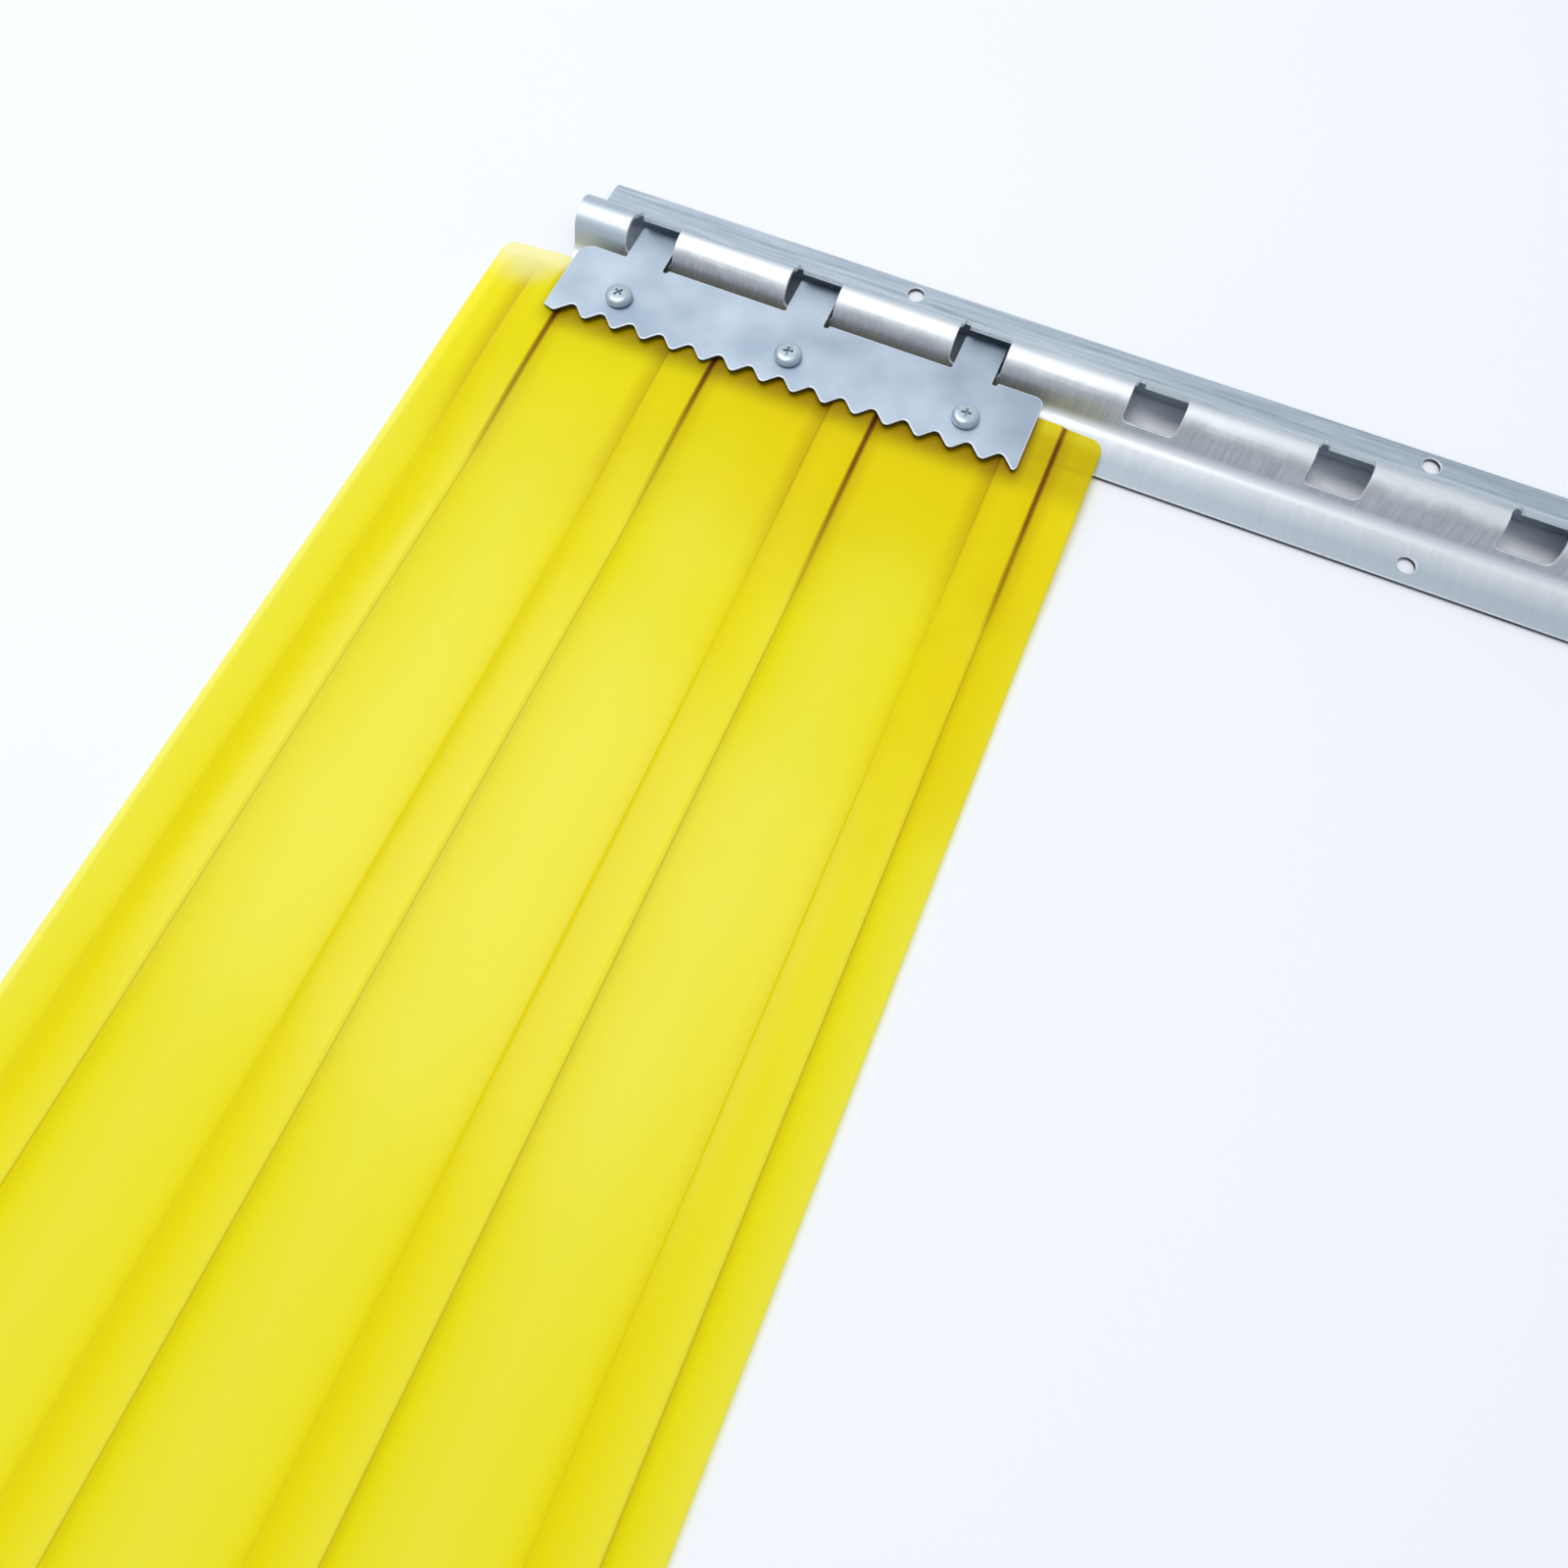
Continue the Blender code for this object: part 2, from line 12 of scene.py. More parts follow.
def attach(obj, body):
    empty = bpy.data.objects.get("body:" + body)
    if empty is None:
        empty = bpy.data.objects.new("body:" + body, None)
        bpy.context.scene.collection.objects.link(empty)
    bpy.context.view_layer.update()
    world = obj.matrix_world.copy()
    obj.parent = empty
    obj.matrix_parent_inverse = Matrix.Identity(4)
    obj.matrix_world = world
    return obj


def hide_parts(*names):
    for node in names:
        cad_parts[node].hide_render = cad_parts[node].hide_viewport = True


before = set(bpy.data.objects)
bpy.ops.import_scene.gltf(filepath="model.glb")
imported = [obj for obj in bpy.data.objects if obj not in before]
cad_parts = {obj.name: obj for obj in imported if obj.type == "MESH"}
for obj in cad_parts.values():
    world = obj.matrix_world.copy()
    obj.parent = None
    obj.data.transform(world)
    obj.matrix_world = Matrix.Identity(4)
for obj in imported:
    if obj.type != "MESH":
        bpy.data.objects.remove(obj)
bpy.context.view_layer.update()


# Camera
# It looks steeply down at the left end of the rail from the strip's side. The small shift is the
# photograph's own framing.

CAMERA_AZIMUTH = math.radians(22.858)
CAMERA_ELEVATION = math.radians(70.345)
CAMERA_ROLL = math.radians(0.572)
CAMERA_PLACE = Vector((-0.32497, -0.25328, 0.25153))
SENSOR_WIDTH_MM = 36
LENS_MM = 23.040
FRAME_SHIFT = (0.00437, 0.0)


def place_camera():
    """Put the camera where the photograph was taken from."""
    toward_camera = Vector((
        math.sin(CAMERA_AZIMUTH) * math.cos(CAMERA_ELEVATION),
        -math.cos(CAMERA_AZIMUTH) * math.cos(CAMERA_ELEVATION),
        math.sin(CAMERA_ELEVATION)))
    right = (-toward_camera).cross(Vector((0, 0, 1))).normalized()
    up = toward_camera.cross(right)
    rolled_right = right * math.cos(CAMERA_ROLL) + up * math.sin(CAMERA_ROLL)
    rolled_up = up * math.cos(CAMERA_ROLL) - right * math.sin(CAMERA_ROLL)
    turn = Matrix((rolled_right, rolled_up, toward_camera)).transposed().to_4x4()
    lens = bpy.data.cameras.new("camera")
    lens.sensor_width = SENSOR_WIDTH_MM
    lens.lens = LENS_MM
    lens.shift_x, lens.shift_y = FRAME_SHIFT
    lens.clip_start = 0.01
    camera = bpy.data.objects.new("camera", lens)
    camera.matrix_world = Matrix.Translation(CAMERA_PLACE) @ turn
    bpy.context.scene.collection.objects.link(camera)
    bpy.context.scene.camera = camera


place_camera()
bpy.context.scene.view_settings.view_transform = "Standard"


# Table and light
# A plain pale table top under a soft lamp above the rail's left end, in a pale room with a window
# beyond the rail. The room is darker behind the viewer, so that the rail's front turns grey.

TABLE_SIZE = 8.0
TABLE_DROP = 0.0003
TABLE_COLOUR = "#F9FAFD"
TABLE_CLOUD_COLOUR = "#F3F5FA"
ROOM_PALE = "#ECF1F9"
ROOM_DARK = "#C2D0E2"
ROOM_WINDOW = "#FFFFFF"
ROOM_STRENGTH = 0.68
DARK_BEHIND_VIEWER = 0.55
DARK_FADE = (-0.35, 0.35)
WINDOW_FADE = (0.74, 0.93)
WINDOW_STRENGTH = 1.7
LAMP_PLACE = Vector((-0.95, 0.02, 1.66))
LAMP_AIM = Vector((-0.36, -0.12, 0.0))
LAMP_SIZE = 0.95
LAMP_WATTS = 15.0


def linear(hex_colour):
    """An sRGB hex colour as linear RGBA."""
    parts = [int(hex_colour[i:i + 2], 16) / 255 for i in (1, 3, 5)]
    turned = [part / 12.92 if part <= 0.04045 else ((part + 0.055) / 1.055) ** 2.4 for part in parts]
    return (*turned, 1.0)


def add_node(tree, kind, feeds=None, **settings):
    """Add a node, set its properties, and set or link its inputs."""
    node = tree.nodes.new(kind)
    for name, value in settings.items():
        setattr(node, name, value)
    for name, value in (feeds or {}).items():
        if isinstance(value, bpy.types.NodeSocket):
            tree.links.new(value, node.inputs[name])
        else:
            node.inputs[name].default_value = value
    return node


def laminate_table_top():
    """White laminate table top: matt, with the faintest clouding."""
    made = bpy.data.materials.new("laminate_table_top")
    made.use_nodes = True
    tree = made.node_tree
    place = add_node(tree, "ShaderNodeTexCoord").outputs["Object"]
    cloud = add_node(tree, "ShaderNodeTexNoise", {"Vector": place, "Scale": 3.0, "Detail": 2.0})
    tone = add_node(tree, "ShaderNodeMix", {
        "Factor": cloud.outputs["Fac"], "A": linear(TABLE_CLOUD_COLOUR), "B": linear(TABLE_COLOUR)},
        data_type="RGBA")
    shader = tree.nodes["Principled BSDF"]
    tree.links.new(tone.outputs["Result"], shader.inputs["Base Color"])
    shader.inputs["Roughness"].default_value = 0.55
    shader.inputs["Specular IOR Level"].default_value = 0.3
    return made


def lay_table():
    """The table top, which isn't part of the object."""
    half = TABLE_SIZE / 2
    corners = [(x, y, -TABLE_DROP) for x, y in ((-half, -half), (half, -half), (half, half), (-half, half))]
    mesh = bpy.data.meshes.new("table_top")
    mesh.from_pydata(corners, [], [(0, 1, 2, 3)])
    mesh.materials.append(laminate_table_top())
    table = bpy.data.objects.new("table_top", mesh)
    bpy.context.scene.collection.objects.link(table)


def light_room():
    """A pale room with a low bright window as the world, and one soft lamp."""
    world = bpy.data.worlds.new("pale_room")
    bpy.context.scene.world = world
    world.use_nodes = True
    tree = world.node_tree
    way = add_node(tree, "ShaderNodeTexCoord").outputs["Generated"]
    parts = add_node(tree, "ShaderNodeSeparateXYZ", {"Vector": way})
    behind = add_node(tree, "ShaderNodeMath", {
        0: parts.outputs["Y"], 1: DARK_BEHIND_VIEWER}, operation="MULTIPLY")
    height = add_node(tree, "ShaderNodeMath", {
        0: behind.outputs["Value"], 1: parts.outputs["Z"]}, operation="ADD")
    share = add_node(tree, "ShaderNodeMapRange", {
        "Value": height.outputs["Value"], "From Min": DARK_FADE[0], "From Max": DARK_FADE[1]},
        interpolation_type="SMOOTHSTEP")
    tone = add_node(tree, "ShaderNodeMix", {
        "Factor": share.outputs["Result"], "A": linear(ROOM_DARK), "B": linear(ROOM_PALE)}, data_type="RGBA")
    low_window = add_node(tree, "ShaderNodeMapRange", {
        "Value": parts.outputs["Y"], "From Min": WINDOW_FADE[0], "From Max": WINDOW_FADE[1]},
        interpolation_type="SMOOTHSTEP")
    glow = add_node(tree, "ShaderNodeMix", {
        "Factor": low_window.outputs["Result"], "A": tone.outputs["Result"],
        "B": [WINDOW_STRENGTH * part for part in linear(ROOM_WINDOW)]}, data_type="RGBA")
    back = tree.nodes["Background"]
    tree.links.new(glow.outputs["Result"], back.inputs["Color"])
    back.inputs["Strength"].default_value = ROOM_STRENGTH

    lamp = bpy.data.lights.new("soft_box", "AREA")
    lamp.shape = "SQUARE"
    lamp.size = LAMP_SIZE
    lamp.energy = LAMP_WATTS
    soft_box = bpy.data.objects.new("soft_box", lamp)
    soft_box.location = LAMP_PLACE
    soft_box.rotation_euler = (LAMP_PLACE - LAMP_AIM).to_track_quat("Z", "Y").to_euler()
    bpy.context.scene.collection.objects.link(soft_box)


lay_table()
light_room()


# Rail
# A hanging rail roll formed from 1.2 mm hot dip galvanised sheet: two flat flanges and a hump
# between them, with punched windows that the clamp plates' fingers hook into and two rows of
# mounting holes. It is screwed to the wall or lintel through the flanges.

RAIL_THICKNESS = 0.0012
WINDOW_PITCH = 0.055
WINDOW_COUNT = 18
RAIL_END_MARGIN = 0.0265
RAIL_TOP_Y = 0.0047
BACK_FOOT_Y = -0.0085
FRONT_FOOT_Y = -0.02685
RAIL_BOTTOM_Y = -0.0436
BACK_SLOPE = math.radians(69.5)
FRONT_SLOPE = math.radians(69.5)
CROWN_RADIUS = 0.0072
WINDOW_WIDTH = 0.0164
WINDOW_BACK_Z = 0.01164
LIP_Z = 0.00544
RELIEF_WIDTH = 0.0023
RELIEF_INSET = 0.0007
RELIEF_REACH = 0.0040
RELIEF_RANGE_Y = (-0.0168, -0.0060)
MOUNT_HOLE_RADIUS = 0.00275
LOWER_HOLE_Y = -0.0372
FIRST_WINDOW_X = -WINDOW_PITCH * (WINDOW_COUNT - 1) / 2
BLANK_CORNER_RADIUS = 0.0008
SHEET_EDGE = 0.00025
# Height under which the rail's cut edges are painted near black as shade.
EDGE_BREAK_SHADE_Z = 0.0008
HUMP_Y = -0.0176
HUMP_Z = 0.00446
STREAK_WIDTH = 0.0011
STREAK_LENGTH = 0.014


def filleted(corners):
    """Points of a line or polygon from corners (x, y, radius, steps), each corner rounded."""
    points = []
    for index, (x, y, radius, steps) in enumerate(corners):
        here = Vector((x, y))
        before = Vector(corners[index - 1][:2]) - here
        after = Vector(corners[(index + 1) % len(corners)][:2]) - here
        if radius == 0:
            points.append(here)
            continue
        half = before.angle(after) / 2
        centre = here + (before.normalized() + after.normalized()).normalized() * (radius / math.sin(half))
        start = here + before.normalized() * (radius / math.tan(half)) - centre
        end = here + after.normalized() * (radius / math.tan(half)) - centre
        sweep = start.angle_signed(end)
        for step in range(steps + 1):
            turn = -sweep * step / steps
            points.append(centre + Vector((
                start.x * math.cos(turn) - start.y * math.sin(turn),
                start.x * math.sin(turn) + start.y * math.cos(turn))))
    return points


def punched_hole(x, y, radius, steps=32):
    """Points of a round hole in a flat blank."""
    return [Vector((x + radius * math.cos(math.tau * i / steps), y + radius * math.sin(math.tau * i / steps)))
            for i in range(steps)]


def walked(path):
    """Distance along a path at each of its points."""
    lengths = [0.0]
    for start, end in zip(path, path[1:]):
        lengths.append(lengths[-1] + (end - start).length)
    return lengths


def reached(path, axis, value, last=False):
    """Distance along a path where one coordinate takes a value."""
    lengths = walked(path)
    found = []
    for index, (start, end) in enumerate(zip(path, path[1:])):
        low, high = sorted((start[axis], end[axis]))
        if low != high and low <= value <= high:
            share = (value - start[axis]) / (end[axis] - start[axis])
            found.append(lengths[index] + share * (end - start).length)
    return found[-1] if last else found[0]


def show(name, bm, finish, body, node):
    """Turn a bmesh into a visible piece that stands for a CAD node."""
    bmesh.ops.recalc_face_normals(bm, faces=bm.faces[:])
    mesh = bpy.data.meshes.new(name)
    bm.to_mesh(mesh)
    bm.free()
    mesh.materials.append(finish)
    piece = bpy.data.objects.new(name, mesh)
    bpy.context.scene.collection.objects.link(piece)
    mesh.shade_smooth()
    mesh.set_sharp_from_angle(angle=math.radians(35))
    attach(piece, body)
    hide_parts(node)
    return piece


def thicken(bm, thickness):
    """Give a flat blank its thickness, with the second material on its rim.

    bmesh's own extrusion orders the faces differently from run to run. The upper faces go in backwards,
    because round_edges then folds none but tiny ones over.
    """
    lower = bm.faces[:]
    rim = [edge for edge in bm.edges if edge.is_boundary]
    above = {vert: bm.verts.new(vert.co + Vector((0, 0, thickness))) for vert in bm.verts[:]}
    for face in reversed(lower):
        bm.faces.new([above[vert] for vert in face.verts])
    for edge in rim:
        start, end = edge.verts
        side = bm.faces.new((start, end, above[end], above[start]))
        side.material_index = 1
    bmesh.ops.recalc_face_normals(bm, faces=bm.faces[:])


def bend_blank(outline, holes, path, thickness):
    """Cut a flat blank and bend it along a path in the Y Z plane, as a press brake would."""
    bm = bmesh.new()
    for loop in [outline] + holes:
        corners = [bm.verts.new((point.x, point.y, 0)) for point in loop]
        for start, end in zip(corners, corners[1:] + corners[:1]):
            bm.edges.new((start, end))
    bmesh.ops.triangle_fill(bm, use_beauty=True, use_dissolve=False, edges=bm.edges[:])
    thicken(bm, thickness)
    lengths = walked(path)
    for length in lengths[1:-1]:
        everything = bm.verts[:] + bm.edges[:] + bm.faces[:]
        bmesh.ops.bisect_plane(bm, geom=everything, dist=0.00001, plane_co=(0, length, 0), plane_no=(0, 1, 0))
    ways = [(end - start).normalized() for start, end in zip(path, path[1:])]
    fronts = [Vector((way.y, -way.x)) for way in ways]
    mitres = [fronts[0]]
    for one, two in zip(fronts, fronts[1:]):
        mitres.append((one + two) / (1 + one.dot(two)))
    mitres.append(fronts[-1])
    for vert in bm.verts:
        length = min(max(vert.co.y, 0), lengths[-1])
        index = max(i for i in range(len(ways)) if lengths[i] <= length + 0.00001)
        share = (length - lengths[index]) / (lengths[index + 1] - lengths[index])
        height = vert.co.z - thickness / 2
        near = path[index] + mitres[index] * height
        far = path[index + 1] + mitres[index + 1] * height
        place = near.lerp(far, share)
        vert.co = (vert.co.x, place.x, place.y)
    bmesh.ops.dissolve_limit(bm, angle_limit=math.radians(0.6), verts=bm.verts[:], edges=bm.edges[:])
    return bm


def round_edges(piece, width, finish, segments, left_sharp=(0.0, 0.0)):
    """Round a punched part's edges a little and give them a sheared edge's finish, but for a range in Y."""
    piece.data.materials.append(finish)
    bm = bmesh.new()
    bm.from_mesh(piece.data)
    weight = bm.edges.layers.float.new("bevel_weight_edge")
    for edge in bm.edges:
        kept = any(left_sharp[0] < vert.co.y < left_sharp[1] for vert in edge.verts)
        if edge.calc_face_angle(0) > math.radians(40) and not kept:
            edge[weight] = 1.0
    bm.to_mesh(piece.data)
    bm.free()
    step = piece.modifiers.new("broken_edges", "BEVEL")
    step.width = width
    step.segments = segments
    step.limit_method = "WEIGHT"
    step.harden_normals = True
    step.material = 1
    step.use_clamp_overlap = False
    step.loop_slide = False


def sheared_steel_edge(name, dark_below):
    """Sheared edge of zinc coated sheet: bright where the punch burnished it, and painted near black below a
    given height.

    Below the given height the edge is painted near black: painted shade along the edge's lower part, laid
    over the sheet's real matt break zone. On the rail only the flanges reach under it.
    """
    made = bpy.data.materials.new(name)
    made.use_nodes = True
    tree = made.node_tree
    place = add_node(tree, "ShaderNodeTexCoord").outputs["Object"]
    nicks = add_node(tree, "ShaderNodeTexNoise", {"Vector": place, "Scale": 1 / 0.0008, "Detail": 2.0})
    height = add_node(tree, "ShaderNodeSeparateXYZ", {"Vector": place}).outputs["Z"]
    burnished = add_node(tree, "ShaderNodeMapRange", {
        "Value": height, "From Min": dark_below - 0.0001, "From Max": dark_below + 0.0001})
    bright = add_node(tree, "ShaderNodeMix", {
        "Factor": nicks.outputs["Fac"], "A": linear("#C6CFD6"), "B": linear("#F6F8FA")}, data_type="RGBA")
    # Painted shade: near black below dark_below, over the real matt break zone.
    tone = add_node(tree, "ShaderNodeMix", {
        "Factor": burnished.outputs["Result"], "A": linear("#1B1B18"), "B": bright.outputs["Result"]},
        data_type="RGBA")
    shader = tree.nodes["Principled BSDF"]
    tree.links.new(tone.outputs["Result"], shader.inputs["Base Color"])
    shader.inputs["Metallic"].default_value = 0.35
    shader.inputs["Roughness"].default_value = 0.42
    return made


def hot_dip_galvanised_sheet():
    """Hot dip galvanised sheet, roll formed: grey zinc, with a painted highlight that makes the crown almost
    white.

    The flanges keep the dull zinc with faint streaks along the rail; the hump's front has fine streaks across
    it, 1 mm apart, where the rolls slid, and a painted highlight makes the foot bend bright again. Beside the
    first window, at the rail's cut end, the painted highlight is left off and the hump shows dull zinc.
    """
    made = bpy.data.materials.new("hot_dip_galvanised_sheet")
    made.use_nodes = True
    tree = made.node_tree
    place = add_node(tree, "ShaderNodeTexCoord").outputs["Object"]
    bloom = add_node(tree, "ShaderNodeTexNoise", {"Vector": place, "Scale": 1 / 0.011, "Detail": 3.0})
    across = add_node(tree, "ShaderNodeMapping", {
        "Vector": place, "Scale": (1 / STREAK_WIDTH, 1 / STREAK_LENGTH, 1 / STREAK_LENGTH)})
    slid = add_node(tree, "ShaderNodeTexNoise", {
        "Vector": across.outputs["Vector"], "Scale": 1.0, "Detail": 4.0, "Roughness": 0.65})
    along = add_node(tree, "ShaderNodeMapping", {
        "Vector": place, "Scale": (1 / 0.035, 1 / 0.0012, 1 / 0.004)})
    rolled = add_node(tree, "ShaderNodeTexNoise", {
        "Vector": along.outputs["Vector"], "Scale": 1.0, "Detail": 3.0, "Roughness": 0.6})
    grain = add_node(tree, "ShaderNodeTexNoise", {"Vector": place, "Scale": 1 / 0.0007, "Detail": 2.0})

    spot = add_node(tree, "ShaderNodeSeparateXYZ", {"Vector": place})
    forward = add_node(tree, "ShaderNodeMath", {0: HUMP_Y, 1: spot.outputs["Y"]}, operation="SUBTRACT")
    upward = add_node(tree, "ShaderNodeMath", {0: spot.outputs["Z"], 1: HUMP_Z}, operation="SUBTRACT")
    lean = add_node(tree, "ShaderNodeMath", {
        0: forward.outputs["Value"], 1: upward.outputs["Value"]}, operation="ARCTAN2").outputs["Value"]
    # Streak and bloom noise breaks up the edge of the painted crown highlight.
    patchy = add_node(tree, "ShaderNodeMath", {
        0: bloom.outputs["Fac"], 1: 1.2, 2: -1.05}, operation="MULTIPLY_ADD")
    highlight_wobble = add_node(tree, "ShaderNodeMath", {
        0: slid.outputs["Fac"], 1: 0.9, 2: patchy.outputs["Value"]}, operation="MULTIPLY_ADD")
    wobbled_lean = add_node(tree, "ShaderNodeMath", {0: lean, 1: highlight_wobble.outputs["Value"]}, operation="ADD")
    on_hump = add_node(tree, "ShaderNodeMapRange", {
        "Value": lean, "From Min": math.radians(-14), "From Max": math.radians(8)},
        interpolation_type="SMOOTHSTEP")
    on_front = add_node(tree, "ShaderNodeMapRange", {
        "Value": wobbled_lean.outputs["Value"], "From Min": math.radians(22), "From Max": math.radians(58)},
        interpolation_type="SMOOTHSTEP")
    on_foot = add_node(tree, "ShaderNodeMapRange", {
        "Value": spot.outputs["Z"], "From Min": 0.0045, "From Max": 0.0024}, interpolation_type="SMOOTHSTEP")
    off_foot = add_node(tree, "ShaderNodeMapRange", {
        "Value": spot.outputs["Y"], "From Min": FRONT_FOOT_Y - 0.003, "From Max": FRONT_FOOT_Y - 0.011})

    streaky = add_node(tree, "ShaderNodeMapRange", {
        "Value": rolled.outputs["Fac"], "From Min": 0.32, "From Max": 0.68})
    dull = add_node(tree, "ShaderNodeMix", {
        "Factor": streaky.outputs["Result"], "A": linear("#94A3B0"), "B": linear("#D2DDE5")},
        data_type="RGBA")
    clouded = add_node(tree, "ShaderNodeMapRange", {
        "Value": bloom.outputs["Fac"], "From Min": 0.3, "From Max": 0.7, "To Min": 0.15, "To Max": 0.75})
    flange = add_node(tree, "ShaderNodeMix", {
        "Factor": clouded.outputs["Result"], "A": dull.outputs["Result"], "B": linear("#BAC7D1")},
        data_type="RGBA")
    # Painted highlight: the crown is near white, with the roll streaks still in it.
    crown = add_node(tree, "ShaderNodeMix", {
        "Factor": slid.outputs["Fac"], "A": linear("#DADFE2"), "B": linear("#F7F9FA")}, data_type="RGBA")
    front = add_node(tree, "ShaderNodeMix", {
        "Factor": slid.outputs["Fac"], "A": linear("#A8ACAE"), "B": linear("#E6E9EA")}, data_type="RGBA")
    bend = add_node(tree, "ShaderNodeMix", {
        "Factor": on_front.outputs["Result"], "A": crown.outputs["Result"], "B": front.outputs["Result"]},
        data_type="RGBA")
    # Near the rail's cut end the painted crown highlight is left off.
    by_the_cut = add_node(tree, "ShaderNodeMapRange", {
        "Value": spot.outputs["X"], "From Min": FIRST_WINDOW_X - 0.001, "From Max": FIRST_WINDOW_X - 0.012})
    hump = add_node(tree, "ShaderNodeMix", {
        "Factor": by_the_cut.outputs["Result"], "A": bend.outputs["Result"], "B": linear("#CFD9E0")},
        data_type="RGBA")
    # Painted highlight along the foot bend, fading to the lower flange's tone.
    foot = add_node(tree, "ShaderNodeMix", {
        "Factor": off_foot.outputs["Result"], "A": linear("#F3F6F8"), "B": linear("#C9D4DC")},
        data_type="RGBA")
    lower = add_node(tree, "ShaderNodeMix", {
        "Factor": on_foot.outputs["Result"], "A": hump.outputs["Result"], "B": foot.outputs["Result"]},
        data_type="RGBA")
    tone = add_node(tree, "ShaderNodeMix", {
        "Factor": on_hump.outputs["Result"], "A": flange.outputs["Result"], "B": lower.outputs["Result"]},
        data_type="RGBA")
    spread = add_node(tree, "ShaderNodeMapRange", {
        "Value": slid.outputs["Fac"], "From Min": 0.3, "From Max": 0.7, "To Min": 0.56, "To Max": 0.42})
    both = add_node(tree, "ShaderNodeMath", {
        0: slid.outputs["Fac"], 1: grain.outputs["Fac"]}, operation="ADD")
    bump = add_node(tree, "ShaderNodeBump", {
        "Height": both.outputs["Value"], "Strength": 0.22, "Distance": 0.00005})
    shader = tree.nodes["Principled BSDF"]
    tree.links.new(tone.outputs["Result"], shader.inputs["Base Color"])
    tree.links.new(spread.outputs["Result"], shader.inputs["Roughness"])
    tree.links.new(bump.outputs["Normal"], shader.inputs["Normal"])
    shader.inputs["Metallic"].default_value = 0.85
    return made


def roll_form_rail():
    """The rail, cut from one blank and bent."""
    mid_z = RAIL_THICKNESS / 2
    rise = math.tan(BACK_SLOPE)
    fall = math.tan(FRONT_SLOPE)
    apex_y = BACK_FOOT_Y - (BACK_FOOT_Y - FRONT_FOOT_Y) * fall / (rise + fall)
    path = filleted([
        (RAIL_TOP_Y, mid_z, 0, 0),
        (BACK_FOOT_Y, mid_z, 0.0022, 6),
        (apex_y, mid_z + (BACK_FOOT_Y - apex_y) * rise, CROWN_RADIUS, 22),
        (FRONT_FOOT_Y, mid_z, 0.0045, 10),
        (RAIL_BOTTOM_Y, mid_z, 0, 0)])
    high = reached(path, 1, WINDOW_BACK_Z)
    low = reached(path, 1, LIP_Z, last=True)
    half = -FIRST_WINDOW_X + RAIL_END_MARGIN
    total = walked(path)[-1]
    corners = ((-half, 0), (half, 0), (half, total), (-half, total))
    outline = filleted([(x, y, BLANK_CORNER_RADIUS, 3) for x, y in corners])
    holes = []
    for index in range(WINDOW_COUNT):
        middle = FIRST_WINDOW_X + WINDOW_PITCH * index
        left = middle - WINDOW_WIDTH / 2
        right = middle + WINDOW_WIDTH / 2
        slot = left + RELIEF_INSET
        end = RELIEF_WIDTH / 2 * 0.9
        holes.append(filleted([
            (left, high, 0, 0), (slot, high, 0, 0),
            (slot, high - RELIEF_REACH, end, 4), (slot + RELIEF_WIDTH, high - RELIEF_REACH, end, 4),
            (slot + RELIEF_WIDTH, high, 0, 0), (right, high, 0.0006, 3),
            (right, low, 0.0022, 8), (left, low, 0.0022, 8)]))
        if index % 3 == 1:
            for y in (0, LOWER_HOLE_Y):
                holes.append(punched_hole(middle + WINDOW_PITCH / 2, reached(path, 0, y), MOUNT_HOLE_RADIUS))
    bm = bend_blank(outline, holes, path, RAIL_THICKNESS)
    piece = show("galvanised_rail", bm, hot_dip_galvanised_sheet(), "rail_body", "rail")
    edge = sheared_steel_edge("sheared_rail_edge", EDGE_BREAK_SHADE_Z)
    round_edges(piece, SHEET_EDGE, edge, 2, RELIEF_RANGE_Y)


roll_form_rail()


# Clamp plates
# Two 1.2 mm zinc plated steel stampings that grip the strip's top between them. Both have a wavy
# lower edge. The front one has three fingers that run through the rail's windows and turn down
# behind the lip, so that the strip hangs from them and can swing.

PLATE_THICKNESS = 0.0012
FRONT_PLATE_BACK_Z = 0.0063
BACK_PLATE_BACK_Z = 0.0015
FINGER_COUNT = 3
FINGER_WIDTH = 0.0132
FINGER_OFFSET_X = 0.0006
FINGER_END_Y = -0.0138
FINGER_TIP_Z = 0.0036
FINGER_END_RANGE_Y = (-0.0166, 0.0)
FINGER_RELIEF = 0.0016
PLATE_LEFT_X = FIRST_WINDOW_X - 0.0213
PLATE_RIGHT_X = FIRST_WINDOW_X + WINDOW_PITCH * (FINGER_COUNT - 1) + 0.0239
PLATE_TOP_Y = -0.0286
BACK_PLATE_TOP_Y = -0.0300
PLATE_TIP_Y = -0.0571
TOOTH_PITCH = 0.01003
TOOTH_COUNT = 16
TOOTH_DEPTH = 0.0052
TOOTH_START = 0.0039
TOOTH_RADIUS = 0.0017
SCREW_X = [(PLATE_LEFT_X + PLATE_RIGHT_X) / 2 + 0.0006 + 0.0572 * step for step in (-1, 0, 1)]
SCREW_Y = -0.0450
SCREW_HOLE_RADIUS = 0.0023
PLATE_EDGE = 0.00045
BACK_PLATE_EDGE = 0.0003
# Heights under which the plates' cut edges are painted near black as shade.
PLATE_EDGE_BREAK_SHADE_Z = 0.00727
BACK_PLATE_EDGE_BREAK_SHADE_Z = 0.0020


